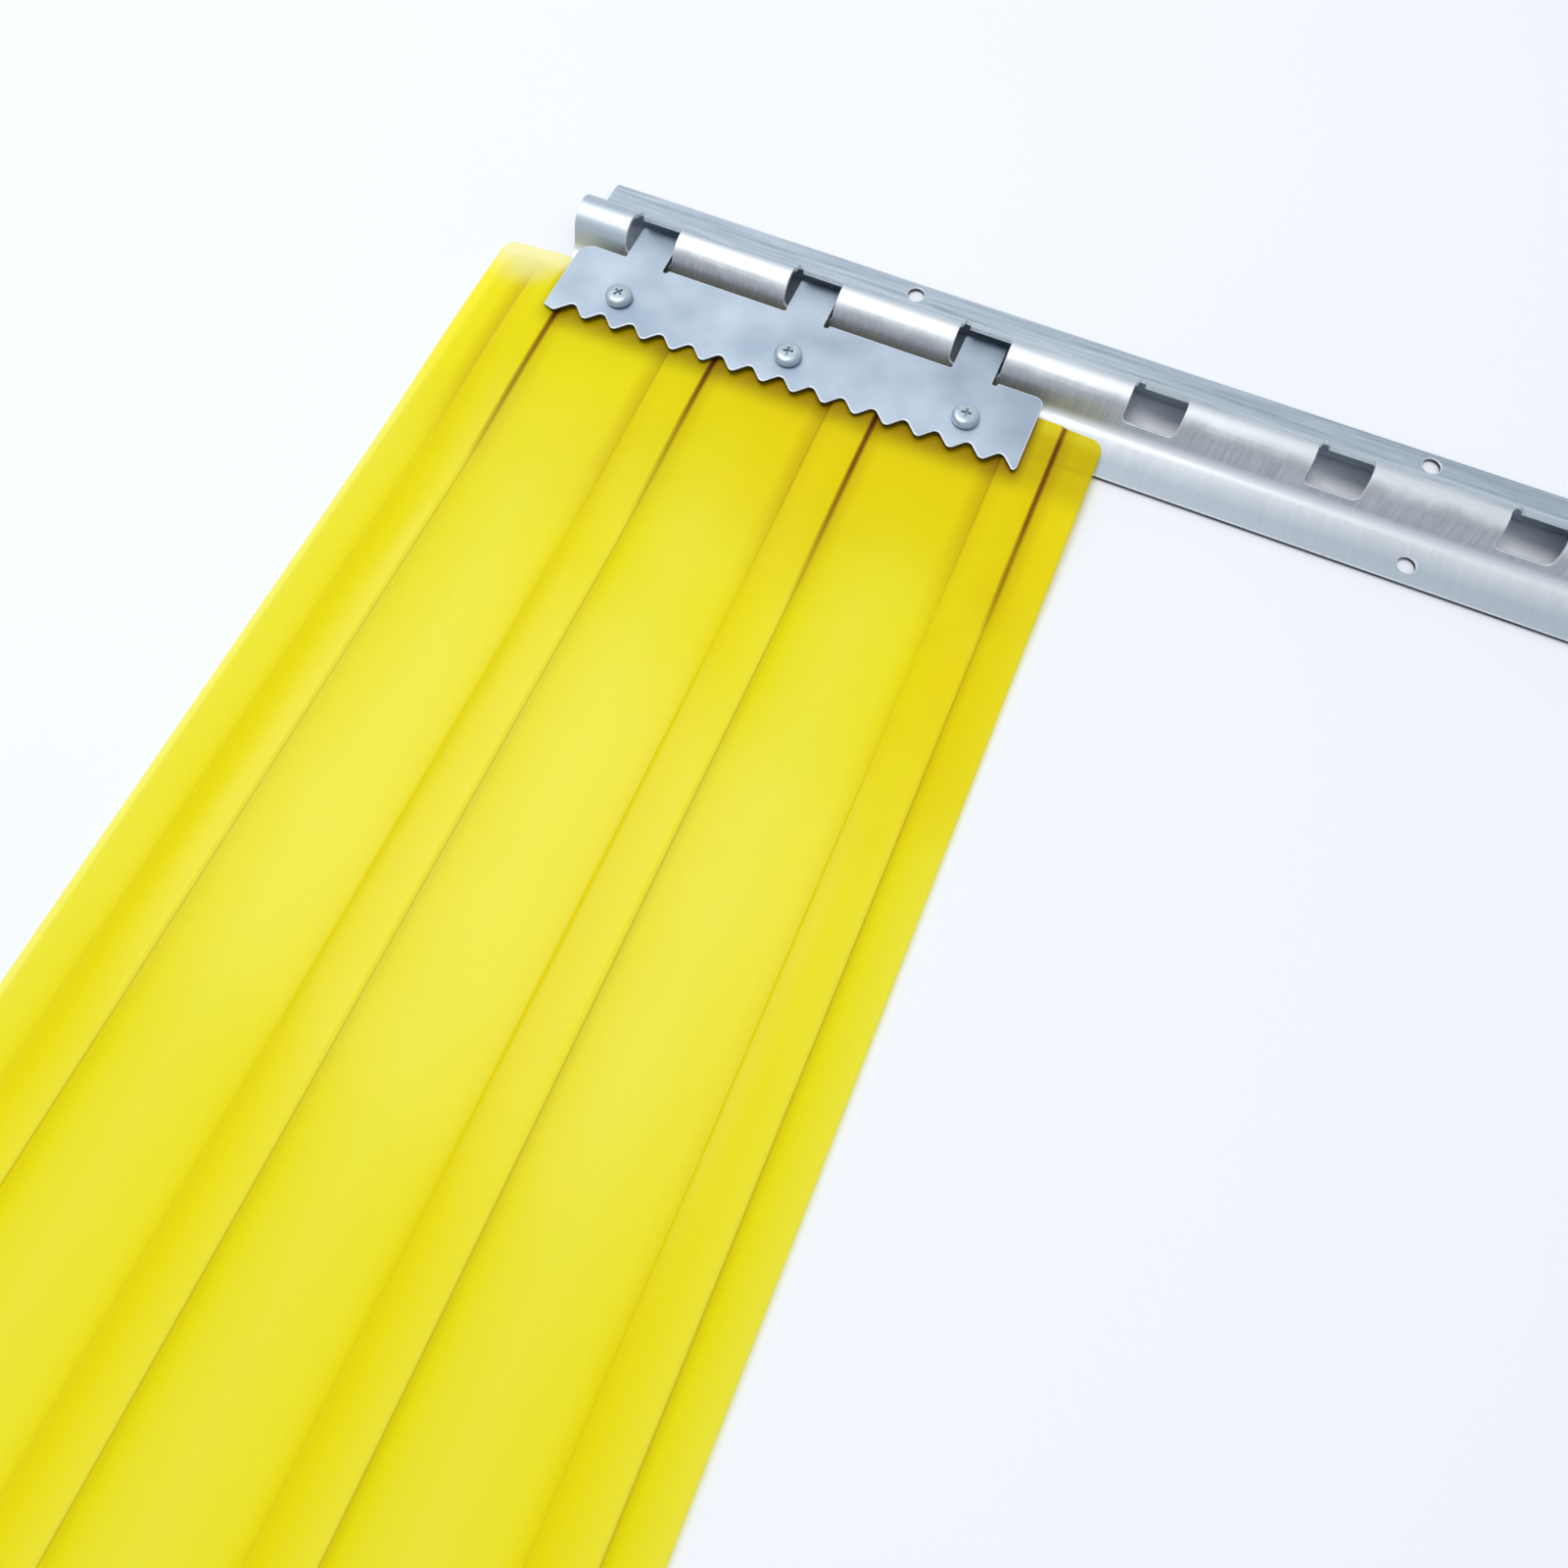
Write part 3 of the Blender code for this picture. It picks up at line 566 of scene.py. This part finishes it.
def bright_zinc_plate(name, pale, deep):
    """Zinc plated cold rolled sheet: smooth, faintly blue, with soft clouding and fine grain."""
    made = bpy.data.materials.new(name)
    made.use_nodes = True
    tree = made.node_tree
    place = add_node(tree, "ShaderNodeTexCoord").outputs["Object"]
    cloud = add_node(tree, "ShaderNodeTexNoise", {"Vector": place, "Scale": 1 / 0.02, "Detail": 3.0})
    grain = add_node(tree, "ShaderNodeTexNoise", {"Vector": place, "Scale": 1 / 0.0006, "Detail": 2.0})
    clouded = add_node(tree, "ShaderNodeMapRange", {
        "Value": cloud.outputs["Fac"], "From Min": 0.3, "From Max": 0.7})
    tone = add_node(tree, "ShaderNodeMix", {
        "Factor": clouded.outputs["Result"], "A": linear(deep), "B": linear(pale)}, data_type="RGBA")
    spread = add_node(tree, "ShaderNodeMapRange", {
        "Value": cloud.outputs["Fac"], "From Min": 0.3, "From Max": 0.7, "To Min": 0.44, "To Max": 0.54})
    bump = add_node(tree, "ShaderNodeBump", {
        "Height": grain.outputs["Fac"], "Strength": 0.12, "Distance": 0.00004})
    shader = tree.nodes["Principled BSDF"]
    tree.links.new(tone.outputs["Result"], shader.inputs["Base Color"])
    tree.links.new(spread.outputs["Result"], shader.inputs["Roughness"])
    tree.links.new(bump.outputs["Normal"], shader.inputs["Normal"])
    shader.inputs["Metallic"].default_value = 0.9
    return made


def wavy_edge(tip):
    """Corners of the toothed lower edge, from right to left."""
    root = tip - TOOTH_DEPTH
    corners = [(PLATE_RIGHT_X, tip - TOOTH_DEPTH * 0.35, 0.0008, 4)]
    for index in reversed(range(TOOTH_COUNT)):
        x = PLATE_LEFT_X + TOOTH_START + TOOTH_PITCH * index
        corners.append((x, tip, 0.0008 if index == TOOTH_COUNT - 1 else TOOTH_RADIUS, 7))
        if index > 0:
            corners.append((x - TOOTH_PITCH / 2, root, TOOTH_RADIUS, 7))
    corners.append((PLATE_LEFT_X, tip - TOOTH_DEPTH * 0.2, TOOTH_RADIUS / 2, 4))
    return corners


def stamp_front_plate():
    """Front clamp plate with its three fingers."""
    mid_z = FRONT_PLATE_BACK_Z + PLATE_THICKNESS / 2
    finger_y = FINGER_END_Y - PLATE_THICKNESS / 2
    path = filleted([
        (finger_y, FINGER_TIP_Z, 0, 0), (finger_y, mid_z, 0.0018, 12), (PLATE_TIP_Y, mid_z, 0, 0)])
    tip = walked(path)[-1]
    top = reached(path, 0, PLATE_TOP_Y)
    low = top + FINGER_RELIEF * 0.75
    half = FINGER_WIDTH / 2
    corners = [(PLATE_LEFT_X, top, 0.0050, 10)]
    for index in range(FINGER_COUNT):
        middle = FIRST_WINDOW_X + WINDOW_PITCH * index + FINGER_OFFSET_X
        corners += [
            (middle - half, top, 0.0008, 5), (middle - half, 0, 0.0012, 5), (middle + half, 0, 0.0012, 5),
            (middle + half, low, 0.0007, 5), (middle + half + FINGER_RELIEF, low, 0.0007, 5),
            (middle + half + FINGER_RELIEF, top, 0, 0)]
    corners.append((PLATE_RIGHT_X, top, 0.0030, 8))
    outline = filleted(corners + wavy_edge(tip))
    holes = [punched_hole(x, reached(path, 0, SCREW_Y), SCREW_HOLE_RADIUS) for x in SCREW_X]
    bm = bend_blank(outline, holes, path, PLATE_THICKNESS)
    finish = bright_zinc_plate("zinc_plated_front_plate", "#CAD6E2", "#ACBCCB")
    piece = show("front_plate_with_fingers", bm, finish, "curtain", "front_clamp_plate")
    edge = sheared_steel_edge("sheared_front_plate_edge", PLATE_EDGE_BREAK_SHADE_Z)
    round_edges(piece, PLATE_EDGE, edge, 4, FINGER_END_RANGE_Y)


def stamp_back_plate():
    """Back clamp plate, flat, with the same outline."""
    mid_z = BACK_PLATE_BACK_Z + PLATE_THICKNESS / 2
    path = [Vector((BACK_PLATE_TOP_Y, mid_z)), Vector((PLATE_TIP_Y, mid_z))]
    tip = walked(path)[-1]
    outline = filleted([(PLATE_LEFT_X, 0, 0.0050, 10), (PLATE_RIGHT_X, 0, 0.0030, 8)] + wavy_edge(tip))
    holes = [punched_hole(x, reached(path, 0, SCREW_Y), SCREW_HOLE_RADIUS) for x in SCREW_X]
    bm = bend_blank(outline, holes, path, PLATE_THICKNESS)
    finish = bright_zinc_plate("zinc_plated_back_plate", "#C0CCD8", "#A9B8C6")
    piece = show("back_plate", bm, finish, "curtain", "back_clamp_plate")
    edge = sheared_steel_edge("sheared_back_plate_edge", BACK_PLATE_EDGE_BREAK_SHADE_Z)
    round_edges(piece, BACK_PLATE_EDGE, edge, 3)


stamp_front_plate()
stamp_back_plate()


# Strip
# One strip sold as 200 mm wide, of extruded flexible PVC, tinted a translucent yellow, 2 mm thick with
# four buffer ribs on each face. Its top is clamped between the plates by the screws; below them
# it comes down to lie on the table, and its free side margins droop beside the plates.

STRIP_WIDTH = 0.202
STRIP_LENGTH = 2.000
STRIP_WEB = 0.0020
RIB_HEIGHT = 0.0005
RIB_WIDTH = 0.0144
RIB_PITCH = 0.0532
RIB_COUNT = 4
RIB_OFFSET_X = 0.0012
STRIP_TOP_Y = -0.0345
STRIP_MID_X = FIRST_WINDOW_X + WINDOW_PITCH - 0.0008
STRIP_CORNER_RADIUS = 0.0035
STRIP_LANDING = 0.0700
SAG_DEPTH = 0.0014
CLAMP_MID_Z = 0.0045
CLEARNESS = 0.58
BENT_CLEARNESS = 0.30
NEAR_CLAMP_Y = (-0.125, -0.062)
# DEEPER_X, MARGIN_X and MARGIN_Y place painted shade on the strip; CUT_END_Y places a painted sheen.
DEEPER_X = (-0.465, -0.40)
MARGIN_X = (-0.342, -0.322)
MARGIN_Y = (-0.19, -0.15)
CUT_END_Y = (-0.052, -0.034)


def tinted_soft_pvc():
    """Plasticised PVC, extruded clear and tinted yellow: glossy, and partly see-through.

    Painted shade and highlight repeat over each rib pitch: a painted dark line at each rib edge, a painted
    highlight just inside the rib's right edge, and painted shade that deepens the tint after each edge and
    fades over the next 9 mm. Near the clamp, where the strip is bent and lies off the table, the plastic is
    cloudier and the painted shade line at the rib's right edge turns brown. Painted shade deepens the tint
    near the clamp on the strip's right half and on its upper right margin, a painted shadow darkens it along
    the plate's wavy edge, and a painted sheen makes the cut end left of the plate pale.
    """
    made = bpy.data.materials.new("tinted_soft_pvc")
    made.use_nodes = True
    tree = made.node_tree
    place = add_node(tree, "ShaderNodeTexCoord").outputs["Object"]
    spot = add_node(tree, "ShaderNodeSeparateXYZ", {"Vector": place})
    first = STRIP_MID_X + RIB_OFFSET_X - RIB_PITCH * (RIB_COUNT - 1) / 2 - RIB_WIDTH / 2
    beside = add_node(tree, "ShaderNodeMath", {0: spot.outputs["X"], 1: first}, operation="SUBTRACT")
    pitches = add_node(tree, "ShaderNodeMath", {0: beside.outputs["Value"], 1: RIB_PITCH}, operation="DIVIDE")
    share = add_node(tree, "ShaderNodeMath", {0: pitches.outputs["Value"]}, operation="FRACT")
    rib = RIB_WIDTH / RIB_PITCH
    # Painted shade and highlight across each rib pitch on the lying strip: dark lines at the rib edges, a
    # highlight just inside the right edge, and deeper tint fading after each edge.
    lying = (
        (0.0, "#E4D000"), (0.012, "#F2DF00"), (0.06, "#F8E600"), (0.15, "#FAEA10"),
        (rib - 0.02, "#FDEE24"), (rib - 0.005, "#FFF238"), (rib + 0.003, "#C8AE00"), (rib + 0.014, "#EAD700"),
        (rib + 0.05, "#F7E800"), (rib + 0.18, "#FAED20"), (0.62, "#FBF02C"), (0.90, "#FBEE1C"),
        (0.97, "#F9E706"), (0.992, "#F2DF00"))
    # The same painted shade and highlight near the clamp, with a brown shade line at the rib's right edge.
    bent = (
        (0.0, "#C2A400"), (0.02, "#F6E400"), (0.10, "#FDEE08"), (rib - 0.02, "#FAEA08"),
        (rib - 0.006, "#8A4E00"), (rib + 0.008, "#7E4600"), (rib + 0.026, "#E8D300"), (rib + 0.10, "#FDEE0A"),
        (0.90, "#FDEE0C"), (0.985, "#E4CC00"))
    lines = []
    for stops in (lying, bent):
        ramp = add_node(tree, "ShaderNodeValToRGB", {"Fac": share.outputs["Value"]})
        while len(ramp.color_ramp.elements) < len(stops):
            ramp.color_ramp.elements.new(1.0)
        for element, (at, colour) in zip(ramp.color_ramp.elements, stops):
            element.position = at
            element.color = linear(colour)
        lines.append(ramp.outputs["Color"])
    haze = add_node(tree, "ShaderNodeTexNoise", {"Vector": place, "Scale": 1 / 0.04, "Detail": 2.0})
    drift = add_node(tree, "ShaderNodeMath", {
        0: haze.outputs["Fac"], 1: 0.05, 2: -0.025}, operation="MULTIPLY_ADD")
    distance = add_node(tree, "ShaderNodeMath", {
        0: spot.outputs["Y"], 1: drift.outputs["Value"]}, operation="ADD")
    near_clamp = add_node(tree, "ShaderNodeMapRange", {
        "Value": distance.outputs["Value"], "From Min": NEAR_CLAMP_Y[0], "From Max": NEAR_CLAMP_Y[1]},
        interpolation_type="SMOOTHSTEP")
    striped = add_node(tree, "ShaderNodeMix", {
        "Factor": near_clamp.outputs["Result"], "A": lines[0], "B": lines[1]}, data_type="RGBA")
    sideways = add_node(tree, "ShaderNodeMath", {
        0: drift.outputs["Value"], 1: 1.5, 2: spot.outputs["X"]}, operation="MULTIPLY_ADD")
    rightward = add_node(tree, "ShaderNodeMapRange", {
        "Value": sideways.outputs["Value"], "From Min": DEEPER_X[0], "From Max": DEEPER_X[1]},
        interpolation_type="SMOOTHSTEP")
    margin = add_node(tree, "ShaderNodeMapRange", {
        "Value": sideways.outputs["Value"], "From Min": MARGIN_X[0], "From Max": MARGIN_X[1]},
        interpolation_type="SMOOTHSTEP")
    upper = add_node(tree, "ShaderNodeMapRange", {
        "Value": distance.outputs["Value"], "From Min": MARGIN_Y[0], "From Max": MARGIN_Y[1]},
        interpolation_type="SMOOTHSTEP")
    # Painted shade: deeper tint near the clamp on the strip's right half and on its upper right margin.
    clamp_side_shade = add_node(tree, "ShaderNodeMath", {
        0: near_clamp.outputs["Result"], 1: rightward.outputs["Result"]}, operation="MULTIPLY")
    side = add_node(tree, "ShaderNodeMath", {
        0: margin.outputs["Result"], 1: upper.outputs["Result"]}, operation="MULTIPLY")
    deep = add_node(tree, "ShaderNodeMath", {
        0: clamp_side_shade.outputs["Value"], 1: side.outputs["Value"]}, operation="MAXIMUM")
    tone = add_node(tree, "ShaderNodeMix", {
        "Factor": deep.outputs["Value"], "A": striped.outputs["Result"], "B": linear("#FCF470")},
        data_type="RGBA", blend_type="MULTIPLY")
    # Painted shadow of the plate along its wavy edge, weaker past the plate's right end.
    beside_plate = add_node(tree, "ShaderNodeMapRange", {
        "Value": spot.outputs["Y"], "From Min": PLATE_TIP_Y - 0.007, "From Max": PLATE_TIP_Y + 0.003},
        interpolation_type="SMOOTHSTEP")
    past_left_end = add_node(tree, "ShaderNodeMapRange", {
        "Value": spot.outputs["X"], "From Min": PLATE_LEFT_X - 0.003, "From Max": PLATE_LEFT_X + 0.004})
    thinned = add_node(tree, "ShaderNodeMapRange", {
        "Value": spot.outputs["X"], "From Min": PLATE_RIGHT_X, "From Max": PLATE_RIGHT_X + 0.003,
        "To Min": 1.0, "To Max": 0.4})
    on_right = add_node(tree, "ShaderNodeMath", {
        0: thinned.outputs["Result"], 1: past_left_end.outputs["Result"]}, operation="MULTIPLY")
    plate_shadow = add_node(tree, "ShaderNodeMath", {
        0: beside_plate.outputs["Result"], 1: on_right.outputs["Value"]}, operation="MULTIPLY")
    plate_shadowed = add_node(tree, "ShaderNodeMix", {
        "Factor": plate_shadow.outputs["Value"], "A": tone.outputs["Result"], "B": linear("#BFAB62")},
        data_type="RGBA", blend_type="MULTIPLY")
    # Painted sheen: the strip's cut end left of the plate turns pale.
    top_end = add_node(tree, "ShaderNodeMapRange", {
        "Value": distance.outputs["Value"], "From Min": CUT_END_Y[0], "From Max": CUT_END_Y[1]},
        interpolation_type="SMOOTHSTEP")
    cut_end_sheen = add_node(tree, "ShaderNodeMath", {
        0: top_end.outputs["Result"], 1: past_left_end.outputs["Result"]},
        operation="SUBTRACT", use_clamp=True)
    surface = add_node(tree, "ShaderNodeMix", {
        "Factor": cut_end_sheen.outputs["Value"], "A": plate_shadowed.outputs["Result"], "B": linear("#FCF39A")},
        data_type="RGBA")
    drawn = add_node(tree, "ShaderNodeMapping", {"Vector": place, "Scale": (1 / 0.012, 1 / 0.06, 1 / 0.012)})
    waves = add_node(tree, "ShaderNodeTexNoise", {
        "Vector": drawn.outputs["Vector"], "Scale": 1.0, "Detail": 2.0})
    spread = add_node(tree, "ShaderNodeMapRange", {
        "Value": haze.outputs["Fac"], "From Min": 0.3, "From Max": 0.7, "To Min": 0.16, "To Max": 0.26})
    bump = add_node(tree, "ShaderNodeBump", {
        "Height": waves.outputs["Fac"], "Strength": 0.35, "Distance": 0.0004})
    halved = add_node(tree, "ShaderNodeGamma", {"Color": surface.outputs["Result"], "Gamma": 0.34})
    cloudy = add_node(tree, "ShaderNodeBsdfDiffuse", {
        "Color": surface.outputs["Result"], "Normal": bump.outputs["Normal"]})
    clear = add_node(tree, "ShaderNodeBsdfTransparent", {"Color": halved.outputs["Color"]})
    clearness = add_node(tree, "ShaderNodeMapRange", {
        "Value": near_clamp.outputs["Result"], "To Min": CLEARNESS, "To Max": BENT_CLEARNESS})
    tinted = add_node(tree, "ShaderNodeMixShader", {
        0: clearness.outputs["Result"], 1: cloudy.outputs["BSDF"], 2: clear.outputs["BSDF"]})
    gloss = add_node(tree, "ShaderNodeBsdfGlossy", {
        "Color": linear("#FFFFFF"), "Roughness": spread.outputs["Result"], "Normal": bump.outputs["Normal"]})
    sheen = add_node(tree, "ShaderNodeFresnel", {"IOR": 1.22, "Normal": bump.outputs["Normal"]})
    skin = add_node(tree, "ShaderNodeMixShader", {
        0: sheen.outputs["Fac"], 1: tinted.outputs["Shader"], 2: gloss.outputs["BSDF"]})
    inside = add_node(tree, "ShaderNodeBsdfTransparent", {"Color": linear("#FFFFFF")})
    leaving = add_node(tree, "ShaderNodeNewGeometry").outputs["Backfacing"]
    whole = add_node(tree, "ShaderNodeMixShader", {
        0: leaving, 1: skin.outputs["Shader"], 2: inside.outputs["BSDF"]})
    tree.nodes.remove(tree.nodes["Principled BSDF"])
    tree.links.new(whole.outputs["Shader"], tree.nodes["Material Output"].inputs["Surface"])
    return made


def strip_section():
    """Upper half of the strip's section as (x from the middle, height), left to right."""
    web = STRIP_WEB / 2
    half = STRIP_WIDTH / 2
    first = RIB_OFFSET_X - RIB_PITCH * (RIB_COUNT - 1) / 2
    margin = first - RIB_WIDTH / 2 + half
    right_margin = half - first - RIB_PITCH * (RIB_COUNT - 1) - RIB_WIDTH / 2
    edge = [(0, 0), (0.08, 0.45), (0.32, 0.80), (1.0, 1.0)]
    points = [(-half + web * along, web * high) for along, high in edge]
    points += [(-half + margin * share, web) for share in (0.25, 0.45, 0.65, 0.85)]
    shoulder = [(-0.0004, 0.0), (0.0001, 0.08), (0.0004, 0.45), (0.0007, 0.85), (0.0012, 1.0)]
    for index in range(RIB_COUNT):
        middle = first + RIB_PITCH * index
        left = middle - RIB_WIDTH / 2
        right = middle + RIB_WIDTH / 2
        points += [(left + along, web + RIB_HEIGHT * high) for along, high in shoulder]
        points += [(right - along, web + RIB_HEIGHT * high) for along, high in reversed(shoulder)]
        if index < RIB_COUNT - 1:
            gap = RIB_PITCH - RIB_WIDTH
            points += [(right + gap * share, web) for share in (0.25, 0.5, 0.75)]
    points += [(half - right_margin * share, web) for share in (0.85, 0.65, 0.45, 0.25)]
    points += [(half - web * along, web * high) for along, high in reversed(edge)]
    return points


def strip_height(distance):
    """Height of the strip's middle line at a distance from its top edge."""
    held = STRIP_TOP_Y - PLATE_TIP_Y
    low = STRIP_WEB / 2 + RIB_HEIGHT
    if distance <= held:
        return CLAMP_MID_Z
    share = min((distance - held) / STRIP_LANDING, 1)
    return low + (CLAMP_MID_Z - low) * (1 + math.cos(math.pi * share)) / 2


def extrude_strip():
    """The strip as one loft from its top edge down, with the screw holes cut through it."""
    held = STRIP_TOP_Y - PLATE_TIP_Y
    low = STRIP_WEB / 2 + RIB_HEIGHT
    corner = STRIP_CORNER_RADIUS
    half = STRIP_WIDTH / 2
    ends = (0.0, 0.03, 0.12, 0.28, 0.5, 0.75, 1.0)
    places = [corner * share for share in ends]
    places += [held * share for share in (0.3, 0.5, 0.75, 0.95)]
    places += [held + STRIP_LANDING * step / 40 for step in range(1, 41)]
    places += [STRIP_LENGTH * share for share in (0.1, 0.2, 0.35, 0.5, 0.75)]
    places += [STRIP_LENGTH - corner * share for share in reversed(ends)]
    upper = strip_section()
    ring = upper + [(x, -high) for x, high in reversed(upper[1:-1])]
    bm = bmesh.new()
    rings = []
    for distance in places:
        near_end = min(distance, STRIP_LENGTH - distance)
        inset = 0.0
        if near_end < corner:
            inset = corner - math.sqrt(corner ** 2 - (corner - near_end) ** 2)
        high = strip_height(distance)
        sag = SAG_DEPTH * (high - low) / (CLAMP_MID_Z - low)
        verts = []
        for x, offset in ring:
            if abs(x) > half - corner:
                x = math.copysign(half - corner + (abs(x) - half + corner) * (corner - inset) / corner, x)
            across = STRIP_MID_X + x
            beyond = max(PLATE_LEFT_X - across, across - PLATE_RIGHT_X, 0)
            drop = sag * min(beyond / (half - (PLATE_RIGHT_X - PLATE_LEFT_X) / 2), 1) ** 2
            verts.append(bm.verts.new((across, STRIP_TOP_Y - distance, high - drop + offset)))
        rings.append(verts)
    for one, two in zip(rings, rings[1:]):
        for index in range(len(ring)):
            after = (index + 1) % len(ring)
            bm.faces.new((one[index], one[after], two[after], two[index]))
    bm.faces.new(rings[0])
    bm.faces.new(list(reversed(rings[-1])))
    piece = show("ribbed_yellow_strip", bm, tinted_soft_pvc(), "curtain", "pvc_strip")
    bit = bmesh.new()
    for x in SCREW_X:
        bmesh.ops.create_cone(
            bit, cap_ends=True, segments=32, radius1=SCREW_HOLE_RADIUS, radius2=SCREW_HOLE_RADIUS, depth=0.02,
            matrix=Matrix.Translation((x, SCREW_Y, CLAMP_MID_Z)))
    drill_mesh = bpy.data.meshes.new("drill")
    bit.to_mesh(drill_mesh)
    bit.free()
    drill = bpy.data.objects.new("drill", drill_mesh)
    bpy.context.scene.collection.objects.link(drill)
    drilled = piece.modifiers.new("screw_holes", "BOOLEAN")
    drilled.object = drill
    drilled.solver = "EXACT"
    bpy.context.view_layer.update()
    result = bpy.data.meshes.new_from_object(piece.evaluated_get(bpy.context.evaluated_depsgraph_get()))
    piece.modifiers.clear()
    piece.data = result
    result.shade_smooth()
    result.set_sharp_from_angle(angle=math.radians(50))
    bpy.data.objects.remove(drill, do_unlink=True)


extrude_strip()


# Clamp screws
# Three bright zinc plated M4 pan head machine screws with a cross recess, driven from the front
# through the front plate and the strip into threads cut in the back plate.

HEAD_RADIUS = 0.0042
HEAD_HEIGHT = 0.0024
SCREW_SEAT_Z = 0.0078
SHANK_RADIUS = 0.0020
SHANK_END_Z = 0.0015
THREAD_PITCH = 0.0007
THREAD_DEPTH = 0.0003
RIM_HEIGHT = 0.0008
RECESS_TURNS = (55, 12, 96)


def bright_zinc_steel():
    """Cold headed steel, bright zinc plated: small and shiny, with faint handling marks."""
    made = bpy.data.materials.new("bright_zinc_fixings")
    made.use_nodes = True
    tree = made.node_tree
    place = add_node(tree, "ShaderNodeTexCoord").outputs["Object"]
    marks = add_node(tree, "ShaderNodeTexNoise", {"Vector": place, "Scale": 1 / 0.0015, "Detail": 3.0})
    tone = add_node(tree, "ShaderNodeMix", {
        "Factor": marks.outputs["Fac"], "A": linear("#A7B6C4"), "B": linear("#D6DFE6")}, data_type="RGBA")
    spread = add_node(tree, "ShaderNodeMapRange", {
        "Value": marks.outputs["Fac"], "From Min": 0.3, "From Max": 0.7, "To Min": 0.36, "To Max": 0.5})
    shader = tree.nodes["Principled BSDF"]
    tree.links.new(tone.outputs["Result"], shader.inputs["Base Color"])
    tree.links.new(spread.outputs["Result"], shader.inputs["Roughness"])
    shader.inputs["Metallic"].default_value = 0.9
    return made


def spun(profile, steps):
    """A bmesh of revolution about Z from (radius, z) points, the first and last on the axis."""
    bm = bmesh.new()
    rings = []
    for radius, z in profile:
        count = 1 if radius == 0 else steps
        rings.append([bm.verts.new((radius * math.cos(math.tau * i / steps),
                                    radius * math.sin(math.tau * i / steps), z)) for i in range(count)])
    for one, two in zip(rings, rings[1:]):
        for i in range(steps):
            after = (i + 1) % steps
            corners = [one[i % len(one)], one[after % len(one)], two[after % len(two)], two[i % len(two)]]
            face = list(dict.fromkeys(corners))
            if len(face) > 2:
                bm.faces.new(face)
    return bm


def cross_recess(turn):
    """The driver's cross as a tapered cutter."""
    bm = bmesh.new()
    levels = []
    for reach, arm, z in ((0.0010, 0.00028, HEAD_HEIGHT - 0.0013), (0.0021, 0.00052, HEAD_HEIGHT + 0.001)):
        corners = []
        for quarter in range(4):
            angle = turn + math.pi / 2 * quarter
            for x, y in ((reach, -arm), (reach, arm), (arm, arm)):
                corners.append(bm.verts.new((x * math.cos(angle) - y * math.sin(angle),
                                             x * math.sin(angle) + y * math.cos(angle), z)))
        levels.append(corners)
    for i in range(12):
        bm.faces.new((levels[0][i], levels[0][(i + 1) % 12], levels[1][(i + 1) % 12], levels[1][i]))
    bm.faces.new(levels[0])
    bm.faces.new(levels[1])
    bmesh.ops.recalc_face_normals(bm, faces=bm.faces[:])
    return bm


def drive_screws(finish):
    """Head, shank and rolled thread of each screw, with its recess turned as it was left."""
    for number, (x, turn) in enumerate(zip(SCREW_X, RECESS_TURNS), start=1):
        end = SHANK_END_Z - SCREW_SEAT_Z
        profile = [(0, end), (SHANK_RADIUS - 0.0004, end), (SHANK_RADIUS - THREAD_DEPTH, end + 0.0003)]
        turns = int((-end - 0.0012) / THREAD_PITCH)
        for index in range(turns):
            base = end + 0.0004 + THREAD_PITCH * index
            profile += [(SHANK_RADIUS, base + THREAD_PITCH * 0.35), (SHANK_RADIUS, base + THREAD_PITCH * 0.5),
                        (SHANK_RADIUS - THREAD_DEPTH, base + THREAD_PITCH * 0.85)]
        profile += [(SHANK_RADIUS, -0.0002), (HEAD_RADIUS - 0.0002, 0)]
        profile += [(HEAD_RADIUS, 0.0002), (HEAD_RADIUS, RIM_HEIGHT)]
        for step in range(1, 10):
            angle = math.pi / 2 * step / 10
            high = RIM_HEIGHT + (HEAD_HEIGHT - RIM_HEIGHT) * math.sin(angle)
            profile.append((HEAD_RADIUS * math.cos(angle) ** 0.36, high))
        profile.append((0, HEAD_HEIGHT))
        bm = spun(profile, 48)
        bmesh.ops.recalc_face_normals(bm, faces=bm.faces[:])
        cutter_mesh = bpy.data.meshes.new("driver")
        cutter = cross_recess(math.radians(turn))
        cutter.to_mesh(cutter_mesh)
        cutter.free()
        driver = bpy.data.objects.new("driver", cutter_mesh)
        bpy.context.scene.collection.objects.link(driver)
        blank = bpy.data.meshes.new("screw_blank")
        bm.to_mesh(blank)
        bm.free()
        blank_object = bpy.data.objects.new("screw_blank", blank)
        bpy.context.scene.collection.objects.link(blank_object)
        recess = blank_object.modifiers.new("recess", "BOOLEAN")
        recess.object = driver
        recess.solver = "EXACT"
        bpy.context.view_layer.update()
        solved = blank_object.evaluated_get(bpy.context.evaluated_depsgraph_get())
        result = bpy.data.meshes.new_from_object(solved)
        bpy.data.objects.remove(blank_object, do_unlink=True)
        bpy.data.objects.remove(driver, do_unlink=True)
        screw = bmesh.new()
        screw.from_mesh(result)
        bmesh.ops.translate(screw, verts=screw.verts, vec=(x, SCREW_Y, SCREW_SEAT_Z))
        show("pan_head_screw_%d" % number, screw, finish, "curtain", "clamp_screw_%d" % number)


drive_screws(bright_zinc_steel())
